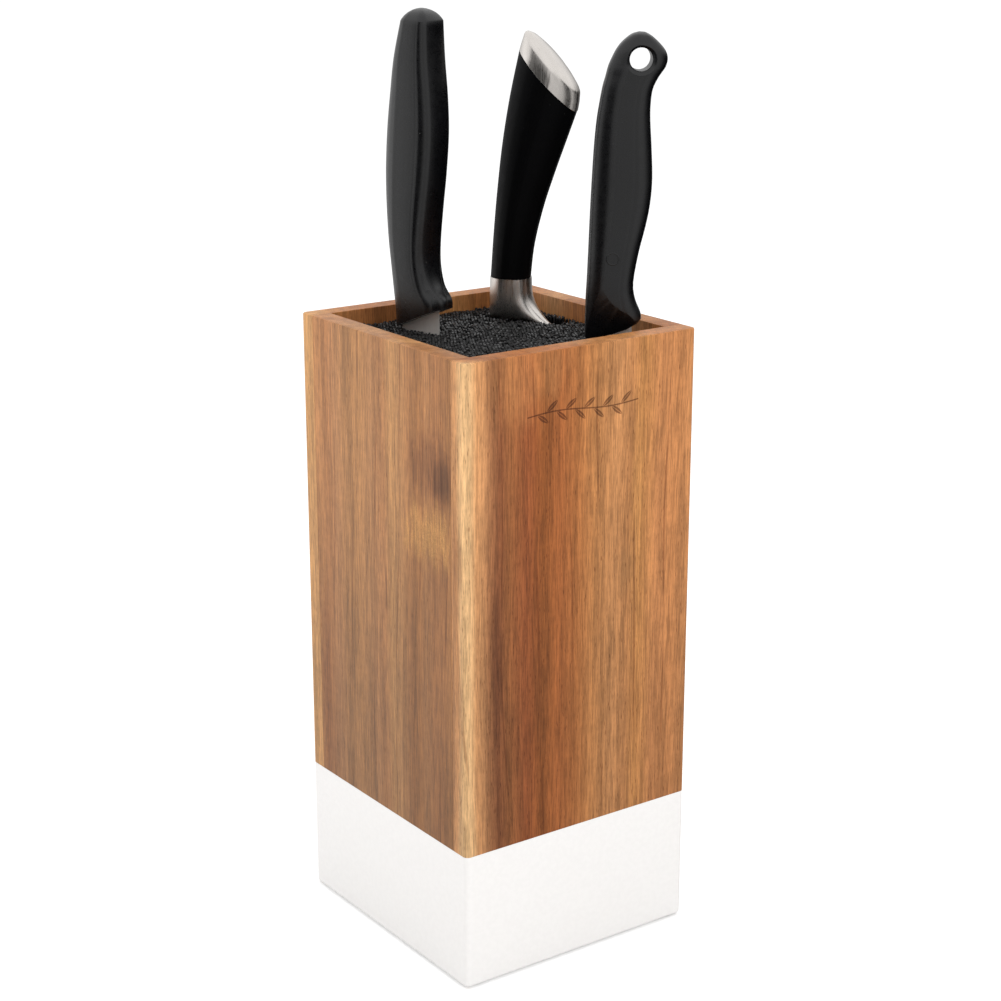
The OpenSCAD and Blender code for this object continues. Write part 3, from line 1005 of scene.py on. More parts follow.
# places across a board in millimetres, and the wood's colour there
FRONT_BANDS = (
    (-50, "#e2bd95"), (-47, "#dab28a"), (-44.5, "#c08e66"), (-42, "#b88660"), (-39, "#9a6848"),
    (-36, "#804f34"), (-31, "#925c38"), (-24, "#905230"), (-17, "#92562c"), (-10, "#a06036"),
    (-2, "#a66a3e"), (6, "#b07a4e"), (15, "#b7835a"), (21, "#b47e54"), (26, "#be8654"),
    (34, "#ba8056"), (42, "#b57c52"), (50, "#b88158"),
)
BEECH_BANDS = ((-50, "#d6b588"), (0, "#cba876"), (50, "#d9b98e"))
BACK_BANDS = (
    (-50, "#c89a6c"), (-46, "#c3946a"), (-38, "#b07c52"), (-26, "#a87048"), (-12, "#9c6640"),
    (0, "#a8724a"), (14, "#b88458"), (26, "#a56e44"), (38, "#94603a"), (50, "#a9744a"),
)
LEFT_BANDS = (
    (-46, "#a87a52"), (-40, "#a37450"), (-34, "#a27350"), (-29, "#ac7e5a"), (-25, "#a3744e"),
    (-19, "#a67854"), (-12, "#b98c66"), (-7, "#bc9068"), (-2, "#b2825e"), (6, "#ae8260"),
    (14, "#b2855f"), (24, "#ae825e"), (30, "#b48664"), (36, "#aa7a57"), (43, "#b6855f"),
)
RIGHT_BANDS = (
    (-46, "#9a6440"), (-36, "#a87048"), (-24, "#b5825a"), (-12, "#aa7650"), (0, "#99643e"),
    (12, "#a36c44"), (24, "#b98960"), (36, "#b07a52"), (46, "#a46e48"),
)

# the knot and its curled halo, a crack and two darker streaks
LEFT_STAINS = (
    Stain(-32.0, 190.0, 17.0, 16.0, "#7a5038", 0.75, 1.5),
    Stain(-39.0, 186.0, 7.0, 10.0, "#4e301e", 0.75, 1.3),
    Stain(-31.0, 166.0, 19.0, 12.0, "#cf9f68", 0.75, 1.8, True),
    Stain(-3.0, 137.0, 0.7, 13.0, "#5a3826", 0.8, 0.7),
    Stain(-22.0, 110.0, 7.0, 60.0, "#8e6244", 0.2, 0.9),
    Stain(40.0, 80.0, 4.0, 55.0, "#a0603c", 0.35, 0.9),
)
# darker and lighter streaks, and the warmer wood under the rim
FRONT_STAINS = (
    Stain(-37.0, 124.0, 2.6, 44.0, "#5e3826", 0.68, 1.2),
    Stain(-15.0, 108.0, 6.0, 46.0, "#85502c", 0.45, 1.1),
    Stain(20.0, 146.0, 5.0, 12.0, "#9a7450", 0.35, 1.0),
    Stain(25.0, 96.0, 3.5, 20.0, "#98643c", 0.5, 1.0),
    Stain(24.0, 172.0, 3.0, 42.0, "#cc9660", 0.4, 1.0),
    Stain(-24.0, 224.0, 24.0, 20.0, "#c08658", 0.55, 1.0),
)


class Finishes:
    """Every finish of the object, made once and found by name."""

    def __init__(self, box: "WoodenBox") -> None:
        """Makes the finishes for a box of this size."""
        lo, hi = box.low, box.high
        # foot and rim paint shade into each board, darker towards the foot as if lit from above; the left
        # board's foot is painted darkest
        woods = (
            Acacia(
                "acacia_front", Lay.FACING_Y, FRONT_BANDS, 3.0, lo.y, 1.0,
                stains=FRONT_STAINS, pores=0.85, mark=True,
            ),
            Acacia("acacia_back", Lay.FACING_Y, BACK_BANDS, 47.0, hi.y, 0.5),
            Acacia(
                "acacia_left", Lay.FACING_X, LEFT_BANDS, 21.0, lo.x, 0.4,
                foot=0.64, rim=0.98, stains=LEFT_STAINS, warmth=(1.06, 0.96, 0.76),
            ),
            Acacia("acacia_right", Lay.FACING_X, RIGHT_BANDS, 73.0, hi.x, 0.4, foot=0.82),
            Acacia("acacia_base", Lay.FLAT, RIGHT_BANDS, 91.0, 0.0, 0.3, foot=1.0, rim=1.0),
            Acacia("acacia_end_x", Lay.FACING_Y, BACK_BANDS, 12.0, 0.0, 1.0, end_grain=True, pores=0.9),
            Acacia("acacia_end_y", Lay.FACING_X, LEFT_BANDS, 17.0, 0.0, 1.0, end_grain=True, pores=0.9),
        )
        others = (
            Lacquer(),
            Acacia("beech", Lay.FACING_Y, BEECH_BANDS, 5.0, pores=0.15),
            Moulded("pad_rubber", "#2c2c2e", 0.75, 0.3, 0.5, 0.04),
            Moulded("tray_plastic", "#19191b", 0.35, 0.5, 0.5, 0.015),
            Moulded("rod_plastic", "#0b0a0b", 0.36, 0.42, 0.25, 0.02, 0.2, 0.2),
            Moulded("handle_plastic", "#050507", 0.30, 0.46, 0.30, 0.045),
            Moulded("grip_plastic", "#010102", 0.5, 0.07, 0.28, 0.02, 0.2, 0.1),
            Steel("brushed_steel", "#c9c4bf"),
            # the blade is only half metallic: its pale diffuse half is partly a painted reflection of the
            # bright studio
            Steel("blade_steel", "#e6e2de", 0.33, 0.1, 9.0, 0.003, 0.5),
        )
        self.made = {look.name: look.make() for look in (*woods, *others)}

    def dress(self, piece: Piece, *names: str) -> None:
        """Gives a piece these finishes, in the order of its slots."""
        piece.data.materials.clear()
        for name in names:
            piece.data.materials.append(self.made[name])


# ---- the wooden box ------------------------------------------------------------------------------


class Side(Enum):
    """A side of the box, with the way it faces."""

    FRONT = (0, -1)
    BACK = (0, 1)
    LEFT = (-1, 0)
    RIGHT = (1, 0)


@dataclass
class WoodenBox:
    """Four boards round a well, and the coat of paint round their foot.

    Attributes:
        corner_r: Radius of the upright edges.
        corner_cuts: Facets in one upright edge.
        lacquer_t: Thickness of the paint.
        rim_bevel: Bevel of the outer rim.
        lip_bevel: Bevel of the inner rim.
        foot_bevel: Bevel round the foot.
        joint_bevel: Bevel that shows a joint as a hairline.
        bare_strip: Strip inside, under the boards, that the paint leaves bare.
        low: The box's lowest corner, read from the frame.
        high: Its highest corner.
        wall: Thickness of a board.
        band_top: Where the paint ends.
        foot: Where it starts.
    """

    corner_r: float = 2.0
    corner_cuts: int = 8
    lacquer_t: float = 0.2
    rim_bevel: float = 0.55
    lip_bevel: float = 0.35
    foot_bevel: float = 0.8
    joint_bevel: float = 0.1
    bare_strip: float = 1.2
    low: Vector = field(init=False)
    high: Vector = field(init=False)
    wall: float = field(init=False)
    band_top: float = field(init=False)
    foot: float = field(init=False)

    def __post_init__(self) -> None:
        """Reads the box's own sizes from the frame."""
        front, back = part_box("front_board"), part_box("back_board")
        self.low, self.high = front[0] / MM, back[1] / MM
        self.wall = (front[1].y - front[0].y) / MM
        self.band_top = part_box("white_lacquer")[1].z / MM
        self.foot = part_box("white_lacquer")[0].z / MM

    def sheet(self, name: str, x0: float, x1: float, y0: float, y1: float, z: float) -> Piece:
        """A flat rectangle at a height, open for editing.

        Args:
            name: The piece's name.
            x0: Left end.
            x1: Right end.
            y0: Front end.
            y1: Back end.
            z: Height.

        Returns:
            The object, in edit mode.
        """
        put_down()
        bpy.ops.mesh.primitive_plane_add(size=1.0)
        plane = bpy.context.object
        plane.scale = ((x1 - x0) * MM, (y1 - y0) * MM, 1)
        plane.location = ((x0 + x1) / 2 * MM, (y0 + y1) / 2 * MM, z * MM)
        return begin(name)

    def round_off(self, piece: Piece, test: Test) -> None:
        """Rounds the picked corners of a flat sheet."""
        pick(piece, Part.VERTS, test)
        bpy.ops.mesh.bevel(offset=self.corner_r * MM, segments=self.corner_cuts, affect="VERTICES")

    def board(self, side: Side) -> Piece:
        """Models one board: full size above the paint, and thinner by the paint's coat below.

        Args:
            side: Which board.

        Returns:
            The finished board.
        """
        lo, hi, t = self.low, self.high, self.wall
        fx, fy = side.value
        if fy:
            y0 = lo.y if fy < 0 else hi.y - t
            span = (lo.x, hi.x, y0, y0 + t)
        else:
            x0 = lo.x if fx < 0 else hi.x - t
            span = (x0, x0 + t, lo.y + t, hi.y - t)
        piece = self.sheet(f"{side.name.lower()}_plank", *span, self.high.z)
        if fy:
            outer = span[2] if fy < 0 else span[3]
            self.round_off(piece, lambda p, _: abs(p.y - outer) < NEAR)
        pick_all(Part.FACES)
        extrude(z=self.band_top - self.high.z)
        extrude()
        thin = (t - self.lacquer_t) / t
        inner = (fx * (hi.x - t), fy * (hi.y - t), self.band_top)
        narrow = (hi.x - self.lacquer_t) / hi.x
        scale_by(*((narrow, thin, 1) if fy else (thin, 1, 1)), inner)
        extrude(z=self.foot + self.lacquer_t - self.band_top)
        face_outwards()
        self.ease_edges(piece, side, span)
        close_up(piece, 30.0)
        ease_corners(piece, self.joint_bevel)
        for face in piece.data.polygons:
            face.material_index = int(abs(face.normal.z) > 0.9)
        sharpen(piece, 40.0)
        return piece

    def ease_edges(self, piece: Piece, side: Side, span: Sequence[float]) -> None:
        """Bevels a board's rim, outside and inside, and its foot.

        Args:
            piece: The board, in edit mode.
            side: Which board.
            span: Its left, right, front and back ends.
        """
        fx, fy = side.value
        axis = 1 if fy else 0
        mid = (span[2] + span[3]) / 2 if fy else (span[0] + span[1]) / 2
        half = self.wall / 2
        way = fy or fx

        def outer(p: Vector) -> bool:
            """True on the outer side of the board, its rounded ends among it."""
            if (p[axis] - mid) * way > half - self.corner_r - NEAR:
                return True
            return bool(fy) and abs(p.x) > self.high.x - NEAR

        pick(piece, Part.EDGES, lambda p, d: p.z > self.high.z - NEAR and outer(p))
        bpy.ops.mesh.bevel(offset=self.rim_bevel * MM, segments=3)
        pick(piece, Part.EDGES, lambda p, d: p.z > self.high.z - NEAR and (p[axis] - mid) * way < NEAR - half)
        bpy.ops.mesh.bevel(offset=self.lip_bevel * MM, segments=2)
        low = self.foot + self.lacquer_t
        pick(piece, Part.EDGES, lambda p, d: p.z < low + NEAR and outer(p))
        bpy.ops.mesh.bevel(offset=self.foot_bevel * MM, segments=3)

    def band(self) -> Piece:
        """Models the coat of paint as a thin skirt that turns in under the boards.

        Returns:
            The finished skirt.
        """
        lo, hi = self.low, self.high
        piece = self.sheet("painted_band", lo.x, hi.x, lo.y, hi.y, self.band_top)
        self.round_off(piece, lambda p, _: True)
        pick_all(Part.FACES)
        extrude(z=self.foot - self.band_top)
        face_outwards()
        pick(piece, Part.EDGES, lambda p, d: p.z < self.foot + NEAR)
        bpy.ops.mesh.bevel(offset=self.foot_bevel * MM, segments=4)
        pick(piece, Part.FACES, lambda p, n: n.z < -0.99)
        bpy.ops.mesh.inset(thickness=(self.wall - self.bare_strip) * MM)
        bpy.ops.mesh.delete(type="FACE")
        pick(piece, Part.FACES, lambda p, n: n.z > 0.99)
        bpy.ops.mesh.delete(type="FACE")
        close_up(piece, 30.0)
        coat = 0.9 * self.lacquer_t * MM
        fix(piece, "SOLIDIFY", thickness=coat, offset=-1.0, use_even_offset=True)
        sharpen(piece, 40.0)
        return piece

    def build(self, looks: Finishes) -> None:
        """Models, dresses and places every wooden piece."""
        for side in Side:
            name = side.name.lower()
            piece = self.board(side)
            end = "acacia_end_x" if side.value[1] else "acacia_end_y"
            looks.dress(piece, f"acacia_{name}", end)
            settle(piece, "block", "acacia", f"{name}_board")
        band = self.band()
        looks.dress(band, "white_lacquer")
        settle(band, "block", "white_lacquer", "white_lacquer")
        looks.dress(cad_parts["base_board"], "acacia_base")
        for node in ("corner_dowels", "base_dowels"):
            looks.dress(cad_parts[node], "beech")
        for row in ("front", "back"):
            for end in ("left", "right"):
                looks.dress(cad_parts[f"pad_{row}_{end}"], "pad_rubber")


def settle(piece: Piece, body: str, slot: str, *nodes: str) -> None:
    """Rides a finished piece on its body, in place of its CAD nodes, and reports it.

    Args:
        piece: The finished piece, in place.
        body: The CAD body it moves with.
        slot: The record's material slot; not used.
        *nodes: The CAD nodes it stands for.
    """
    put_down()
    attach(piece, body)
    if nodes:
        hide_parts(*nodes)
    LOG.info("%s: %d faces, rides on %s", piece.name, len(piece.data.polygons), body)


# ---- the rod insert ------------------------------------------------------------------------------


@dataclass
class Slot:
    """A strip of the block that a knife takes up, in the knife's own plane.

    Attributes:
        place: Where the knife stands.
        back: Its end at the knife's back.
        edge: Its end on the cutting edge's side.
        half: Half its width.
    """

    place: "Stand"
    back: float
    edge: float
    half: float

    def covers(self, x: np.ndarray, y: np.ndarray, room: float) -> np.ndarray:
        """True for each point that lies in the strip, grown by room."""
        along, across = self.place.inward(x, y)
        beside = np.abs(across) < self.half + room
        return beside & (along > self.back - room) & (along < self.edge + room)


# heights of the pattern rod's knee, neck and tip, in its own millimetres
KNEE, NECK, TIP = 250, 995, 1000


@dataclass
class RodInsert:
    """The tray and the upright rods that it holds.

    Attributes:
        rod_r: Radius of a rod.
        pitch: Distance between neighbours.
        splay_top: Height at which the rods have spread to their full width.
        uneven: How far a rod's tip may stand below the others.
        tip_bevel: Height of the blunt tip.
        blunt: Share of the radius that is left at the tip.
        slant: How much a tip's end face slants.
        wander: How far the rows wander, in pitches.
        waves: Lengths over which they wander.
        stray: How far a rod stands off its row.
        sunk: How far an even tip lies under the pack's top.
        tray_wall: Thickness of the tray's wall, with room.
        seed: Starts the random numbers.
        bundles: How many pieces the rods are made in.
    """

    rod_r: float = 0.6
    pitch: float = 1.285
    splay_top: float = 60.0
    uneven: float = 0.7
    tip_bevel: float = 0.35
    blunt: float = 0.72
    slant: float = 0.3
    wander: float = 0.28
    waves: tuple[float, float] = (6.1, 9.7)
    stray: float = 0.13
    sunk: float = 0.15
    tray_wall: float = 1.3
    seed: int = 12
    bundles: int = 4

    def rod(self) -> Piece:
        """Models one rod with a blunt tip, as a pattern that is stretched later.

        Returns:
            The rod, out of edit mode, with rings at its foot, knee, neck and tip.
        """
        put_down()
        bpy.ops.mesh.primitive_circle_add(vertices=6, radius=self.rod_r * MM, fill_type="NGON")
        piece = begin("rod_pattern")
        for low, high in ((0, KNEE), (KNEE, NECK), (NECK, TIP)):
            extrude(z=high - low)
        scale_by(self.blunt, self.blunt, 1, (0, 0, TIP))
        face_outwards()
        bpy.ops.object.mode_set(mode="OBJECT")
        return piece

    def places(self, slots: Sequence[Slot]) -> np.ndarray:
        """Where the rods' tips stand.

        Args:
            slots: The strips that blades keep free.

        Returns:
            Rows of x and y in millimetres.
        """
        lo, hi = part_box("rod_pack")
        wide, deep = (hi.x - lo.x) / 2 / MM - self.rod_r, (hi.y - lo.y) / 2 / MM - self.rod_r
        rows = int(2 * deep / (self.pitch * math.sqrt(3) / 2))
        columns = int(2 * wide / self.pitch)
        spots = []
        for r in range(rows + 1):
            y = -deep + r * 2 * deep / rows
            shift = (r % 2) * self.pitch / 2
            spots += [(-wide + shift + c * self.pitch, y) for c in range(columns)]
        spots = np.array(spots)
        free = np.ones(len(spots), bool)
        for slot in slots:
            free &= ~slot.covers(spots[:, 0], spots[:, 1], self.rod_r + 0.1)
        return spots[free & (np.abs(spots[:, 0]) <= wide)]

    def drawn_in(self) -> np.ndarray:
        """How much closer the rods' feet stand in the tray than their tips, in x and y."""
        tray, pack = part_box("insert_tray")[1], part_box("rod_pack")[1]
        return np.array([
            (inside / MM - self.tray_wall - self.rod_r) / (outside / MM - self.rod_r)
            for inside, outside in ((tray.x, pack.x), (tray.y, pack.y))
        ])

    def bundle(
        self, name: str, source: bpy.types.Mesh, spots: np.ndarray, tops: np.ndarray,
        dice: np.random.Generator,
    ) -> Piece:
        """Copies the rod to every place, each at its own height, lean and tilt.

        Args:
            name: The bundle's name.
            source: The mesh of the rod to copy.
            spots: Where the tips stand.
            tops: How high the tips stand.
            dice: The random number generator.

        Returns:
            The bundle as one object.
        """
        base = np.zeros(len(source.vertices) * 3)
        source.vertices.foreach_get("co", base)
        x, y, z = base.reshape(-1, 3)[None].transpose(2, 0, 1) / MM
        at_foot, below_neck, at_tip = z < KNEE / 2, z < (KNEE + NECK) / 2, z > (NECK + TIP) / 2
        n = len(spots)
        turn = dice.uniform(0, math.tau, n)
        cos, sin = np.cos(turn)[:, None], np.sin(turn)[:, None]
        rx, ry = x * cos - y * sin, x * sin + y * cos
        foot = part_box("rod_pack")[0].z / MM + 0.1
        tilt = dice.normal(0, self.slant, (n, 2))
        neck = np.where(at_tip, 0.0, self.tip_bevel)
        top = tops[:, None] - neck + rx * tilt[:, :1] + ry * tilt[:, 1:]
        height = np.where(below_neck, np.where(at_foot, foot, self.splay_top), top)
        inward = self.drawn_in()
        px = spots[:, :1] * np.where(at_foot, inward[0], 1.0) + rx
        py = spots[:, 1:] * np.where(at_foot, inward[1], 1.0) + ry
        points = np.stack([px, py, height], 2).reshape(-1, 3) * MM
        mesh = bpy.data.meshes.new(name)
        faces = [list(p.vertices) for p in source.polygons]
        count = len(source.vertices)
        polygons = [[v + k * count for v in f] for k in range(n) for f in faces]
        mesh.from_pydata(points.tolist(), [], polygons)
        made = bpy.data.objects.new(name, mesh)
        bpy.context.scene.collection.objects.link(made)
        return made

    def build(self, looks: Finishes, slots: Sequence[Slot], root: Slot, dip: float) -> None:
        """Models, dresses and places the rods, and dresses the tray.

        Args:
            looks: The finishes.
            slots: The strips that blades keep free.
            root: The strip where the bolster presses the rods down.
            dip: How far it presses them down.
        """
        dice = np.random.default_rng(self.seed)
        pattern = self.rod()
        spots = self.places(slots)
        quick, slow = self.waves
        sway = np.sin(spots[:, ::-1] / quick + np.sin(spots / slow)) * (self.pitch * self.wander)
        room = np.abs(spots).max(axis=0)
        spots = np.clip(spots + sway + dice.uniform(-self.stray, self.stray, spots.shape), -room, room)
        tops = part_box("rod_pack")[1].z / MM - self.sunk
        tops = tops + dice.uniform(-self.uneven, self.uneven * 0.3, len(spots))
        tops = np.where(root.covers(spots[:, 0], spots[:, 1], 0.3), tops - dip, tops)
        order = np.argsort(spots[:, 1], kind="stable")
        for number, part in enumerate(np.array_split(order, self.bundles)):
            piece = self.bundle(f"rods_{number + 1}", pattern.data, spots[part], tops[part], dice)
            looks.dress(piece, "rod_plastic")
            settle(piece, "rod_insert", "rod_plastic", *(("rod_pack",) if number == 0 else ()))
        LOG.info("%d rods stand in the tray", len(spots))
        bpy.data.objects.remove(pattern)
        looks.dress(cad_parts["insert_tray"], "tray_plastic")


# ---- the knives ----------------------------------------------------------------------------------


@dataclass(frozen=True)
class Stand:
    """Where a knife stands.

    Attributes:
        x: Place of its axis across the block.
        y: Place of its axis from front to back.
        foot: Height of the rods' tips.
        turn: The way its cutting edge looks, in degrees from +X.
    """

    x: float
    y: float
    foot: float
    turn: float

    def inward(self, x: np.ndarray, y: np.ndarray) -> tuple[np.ndarray, np.ndarray]:
        """Turns places in the block into places along and across the knife."""
        c, s = math.cos(math.radians(self.turn)), math.sin(math.radians(self.turn))
        return (x - self.x) * c + (y - self.y) * s, (y - self.y) * c - (x - self.x) * s

    def put(self, piece: Piece) -> None:
        """Moves a finished piece from the knife's own frame to its place."""
        take_up(piece)
        piece.rotation_euler = (0, 0, math.radians(self.turn))
        piece.location = (self.x * MM, self.y * MM, self.foot * MM)
        bpy.ops.object.transform_apply(location=True, rotation=True, scale=True)


@dataclass(frozen=True)
class Blade:
    """A ground blade with its tang.

    Attributes:
        back: Where its back lies.
        width: Its width at the heel.
        half: Half its thickness.
        heel: Height of its top edge inside the handle.
        length: Its length below that.
        belly: Share of the edge that is straight.
        tang_x: Back of the tang.
        tang_w: Width of the tang.
        tang_len: Length of the tang.
        point_w: Width left at the point.
        rings: Sections along the sweep of the edge.
    """

    back: float
    width: float
    half: float
    heel: float
    length: float
    belly: float
    tang_x: float
    tang_w: float = 8.0
    tang_len: float = 70.0
    point_w: float = 0.6
    rings: int = 28

    def stations(self) -> list[Station]:
        """The sections from the point up to the end of the tang."""
        out = []
        for i in range(self.rings, -1, -1):
            t = i / self.rings
            z = self.heel - self.length * (self.belly + (1 - self.belly) * t)
            w = max(self.width * math.sqrt(1 - t * t), self.point_w)
            out.append(Station(self.back, z, self.back + w, z, self.half * (1 - 0.5 * t**3)))
        end = self.tang_x + self.tang_w
        top = self.heel + self.tang_len
        edge = self.back + self.width
        out.append(Station(self.back, self.heel, edge, self.heel, self.half))
        out.append(Station(self.tang_x, self.heel + 0.01, end, self.heel + 0.01, self.half))
        out.append(Station(self.tang_x, top, end, top, self.half))
        return out

    def slot(self, place: Stand) -> Slot:
        """The strip that the blade keeps free of rods."""
        return Slot(place, self.back, self.back + self.width, self.half)

    def build(self, name: str) -> Piece:
        """Models the blade in the knife's own frame."""
        piece = loft(name, BladeOutline(), self.stations())
        return close_up(piece, 12.0)


def assemble(place: Stand, looks: Finishes, body: str, parts: Sequence[tuple]) -> None:
    """Puts a knife's pieces in place, dresses them and rides them on its body.

    Args:
        place: Where the knife stands.
        looks: The finishes.
        body: The CAD body of the knife.
        parts: Each piece, its finish, and the CAD node it stands for.
    """
    for piece, look, node in parts:
        place.put(piece)
        looks.dress(piece, look)
        settle(piece, body, look, node)


@dataclass
class UtilityKnife:
    """The knife at the left: a plain moulded handle with a domed end.

    Attributes:
        place: Where it stands.
        blade: Its blade.
        section: The handle's cross-section.
        body: The handle's sections, from the guard up.
        dome: The sections of its domed end.
    """

    place: Stand
    blade: Blade = Blade(-8.2, 17.5, 0.8, 11.5, 145.0, 0.72, -6.0)
    section: Outline = Outline(0.62, 0.36, 0.04, 0.12, 8)
    body: tuple[Station, ...] = (
        Station(-8.9, 0.7, 12.4, 9.4, 6.8, 0.42),
        Station(-9.2, 6.5, 11.9, 12.5, 6.9, 0.50),
        Station(-10.0, 16.0, 8.2, 17.0, 7.0, 0.74),
        Station(-10.8, 24.5, 6.3, 24.5, 7.2, 0.92),
        Station(-11.8, 33.5, 6.4, 33.5, 7.4),
        Station(-12.7, 45.5, 7.9, 45.5, 7.4),
        Station(-12.9, 57.5, 9.6, 57.5, 7.4),
        Station(-12.0, 71.5, 10.8, 71.5, 7.4),
        Station(-10.3, 84.5, 10.4, 84.5, 7.3),
        Station(-8.2, 97.5, 9.2, 97.5, 7.0),
        Station(-4.8, 110.2, 8.7, 110.2, 6.4),
    )
    dome: tuple[Station, ...] = (
        Station(-4.4, 110.9, 8.4, 110.9, 6.0),
        Station(-3.5, 112.0, 7.6, 112.0, 5.2),
        Station(-2.3, 113.0, 6.5, 113.0, 4.2),
        Station(-0.9, 113.8, 5.1, 113.8, 2.9),
        Station(0.5, 114.3, 3.7, 114.3, 1.6),
        Station(1.6, 114.5, 2.6, 114.5, 0.5),
    )

    def handle(self) -> Piece:
        """Models the handle: body, crisp rim and dome."""
        piece = loft("utility_grip", self.section, [*smooth(self.body, 5), *self.dome])
        return close_up(piece, 28.0)

    def build(self, looks: Finishes) -> None:
        """Models, dresses and places the knife."""
        blade, handle = self.blade.build("utility_knife_blade"), self.handle()
        assemble(self.place, looks, "utility_knife", (
            (blade, "blade_steel", "utility_blade"),
            (handle, "handle_plastic", "utility_handle"),
        ))


@dataclass
class SlicingKnife:
    """The knife in the middle: steel bolster, soft grip and steel end cap.

    Attributes:
        place: Where it stands.
        seam_bevel: Bevel at the seams between bolster, grip and cap.
        root_half: Half the width of the strip where the bolster presses the rods down.
        root_depth: How far it presses them down.
        blade: Its blade.
        forged: The bolster's cross-section.
        soft: The grip's and the cap's.
        bolster: The bolster's sections, from the rods up.
        grip: The grip's.
        cap: The cap's, up its slanted end.
    """

    place: Stand
    seam_bevel: float = 0.12
    root_half: float = 5.0
    root_depth: float = 5.6
    blade: Blade = Blade(-11.3, 31.0, 1.0, -5.0, 165.0, 0.55, -5.0, tang_len=62.0)
    forged: Outline = Outline(0.80, 0.45, 0.14, 0.16, 9)
    soft: Outline = Outline(0.88, 0.84, 0.10, 0.16, 10)
    bolster: tuple[Station, ...] = (
        Station(-11.2, -5.0, 18.5, -5.0, 1.3, 0.80),
        Station(-11.3, -3.4, 16.0, -3.4, 2.6, 0.66),
        Station(-11.3, -1.4, 12.6, -1.4, 4.2, 0.60),
        Station(-11.3, 1.4, 9.2, 1.4, 5.6, 0.60),
        Station(-11.2, 4.6, 6.6, 4.6, 6.4, 0.66),
        Station(-11.0, 9.0, 4.9, 9.0, 6.7, 0.74),
        Station(-10.8, 15.0, 4.5, 15.0, 6.8, 0.80),
    )
    grip: tuple[Station, ...] = (
        Station(-10.7, 15.1, 4.4, 15.1, 6.85),
        Station(-9.6, 30.5, 5.9, 27.5, 7.0),
        Station(-8.1, 47.5, 9.4, 41.5, 7.2),
        Station(-6.1, 64.5, 14.0, 55.0, 7.4),
        Station(-3.2, 81.5, 18.5, 67.0, 7.5),
        Station(0.55, 98.4, 22.2, 76.9, 7.5),
    )
    cap: tuple[Station, ...] = (
        Station(0.6, 98.5, 22.3, 77.0, 7.45),
        Station(0.62, 98.7, 22.45, 77.1, 7.6),
        Station(1.5, 101.5, 23.0, 80.0, 7.6),
        Station(2.5, 104.3, 23.25, 83.1, 7.5),
        Station(2.75, 104.75, 23.25, 83.7, 7.35),
        Station(3.3, 105.1, 23.0, 84.6, 7.05),
        Station(5.0, 104.6, 21.7, 86.9, 5.9),
        Station(7.0, 103.3, 19.9, 89.6, 4.5),
        Station(9.4, 101.3, 17.5, 92.6, 2.9),
        Station(12.2, 98.7, 14.6, 95.9, 1.2),
    )

    def root(self) -> Slot:
        """The strip where the bolster goes down between the rods."""
        first = self.bolster[0]
        return Slot(self.place, first.back_x - 0.4, first.edge_x + 0.3, self.root_half)

    def build(self, looks: Finishes) -> None:
        """Models, dresses and places the knife."""
        blade = self.blade.build("slicing_knife_blade")
        bolster = close_up(loft("slicing_bolster", self.forged, smooth(self.bolster, 5)), 28.0)
        grip = close_up(loft("slicing_grip", self.soft, smooth(self.grip, 8)), 28.0)
        cap = close_up(loft("slicing_end_cap", self.soft, self.cap), 28.0)
        for piece in (bolster, grip):
            ease_corners(piece, self.seam_bevel)
            sharpen(piece, 28.0)
        assemble(self.place, looks, "slicing_knife", (
            (blade, "blade_steel", "slicer_blade"),
            (bolster, "brushed_steel", "slicer_bolster"),
            (grip, "grip_plastic", "slicer_grip"),
            (cap, "brushed_steel", "slicer_end_cap"),
        ))


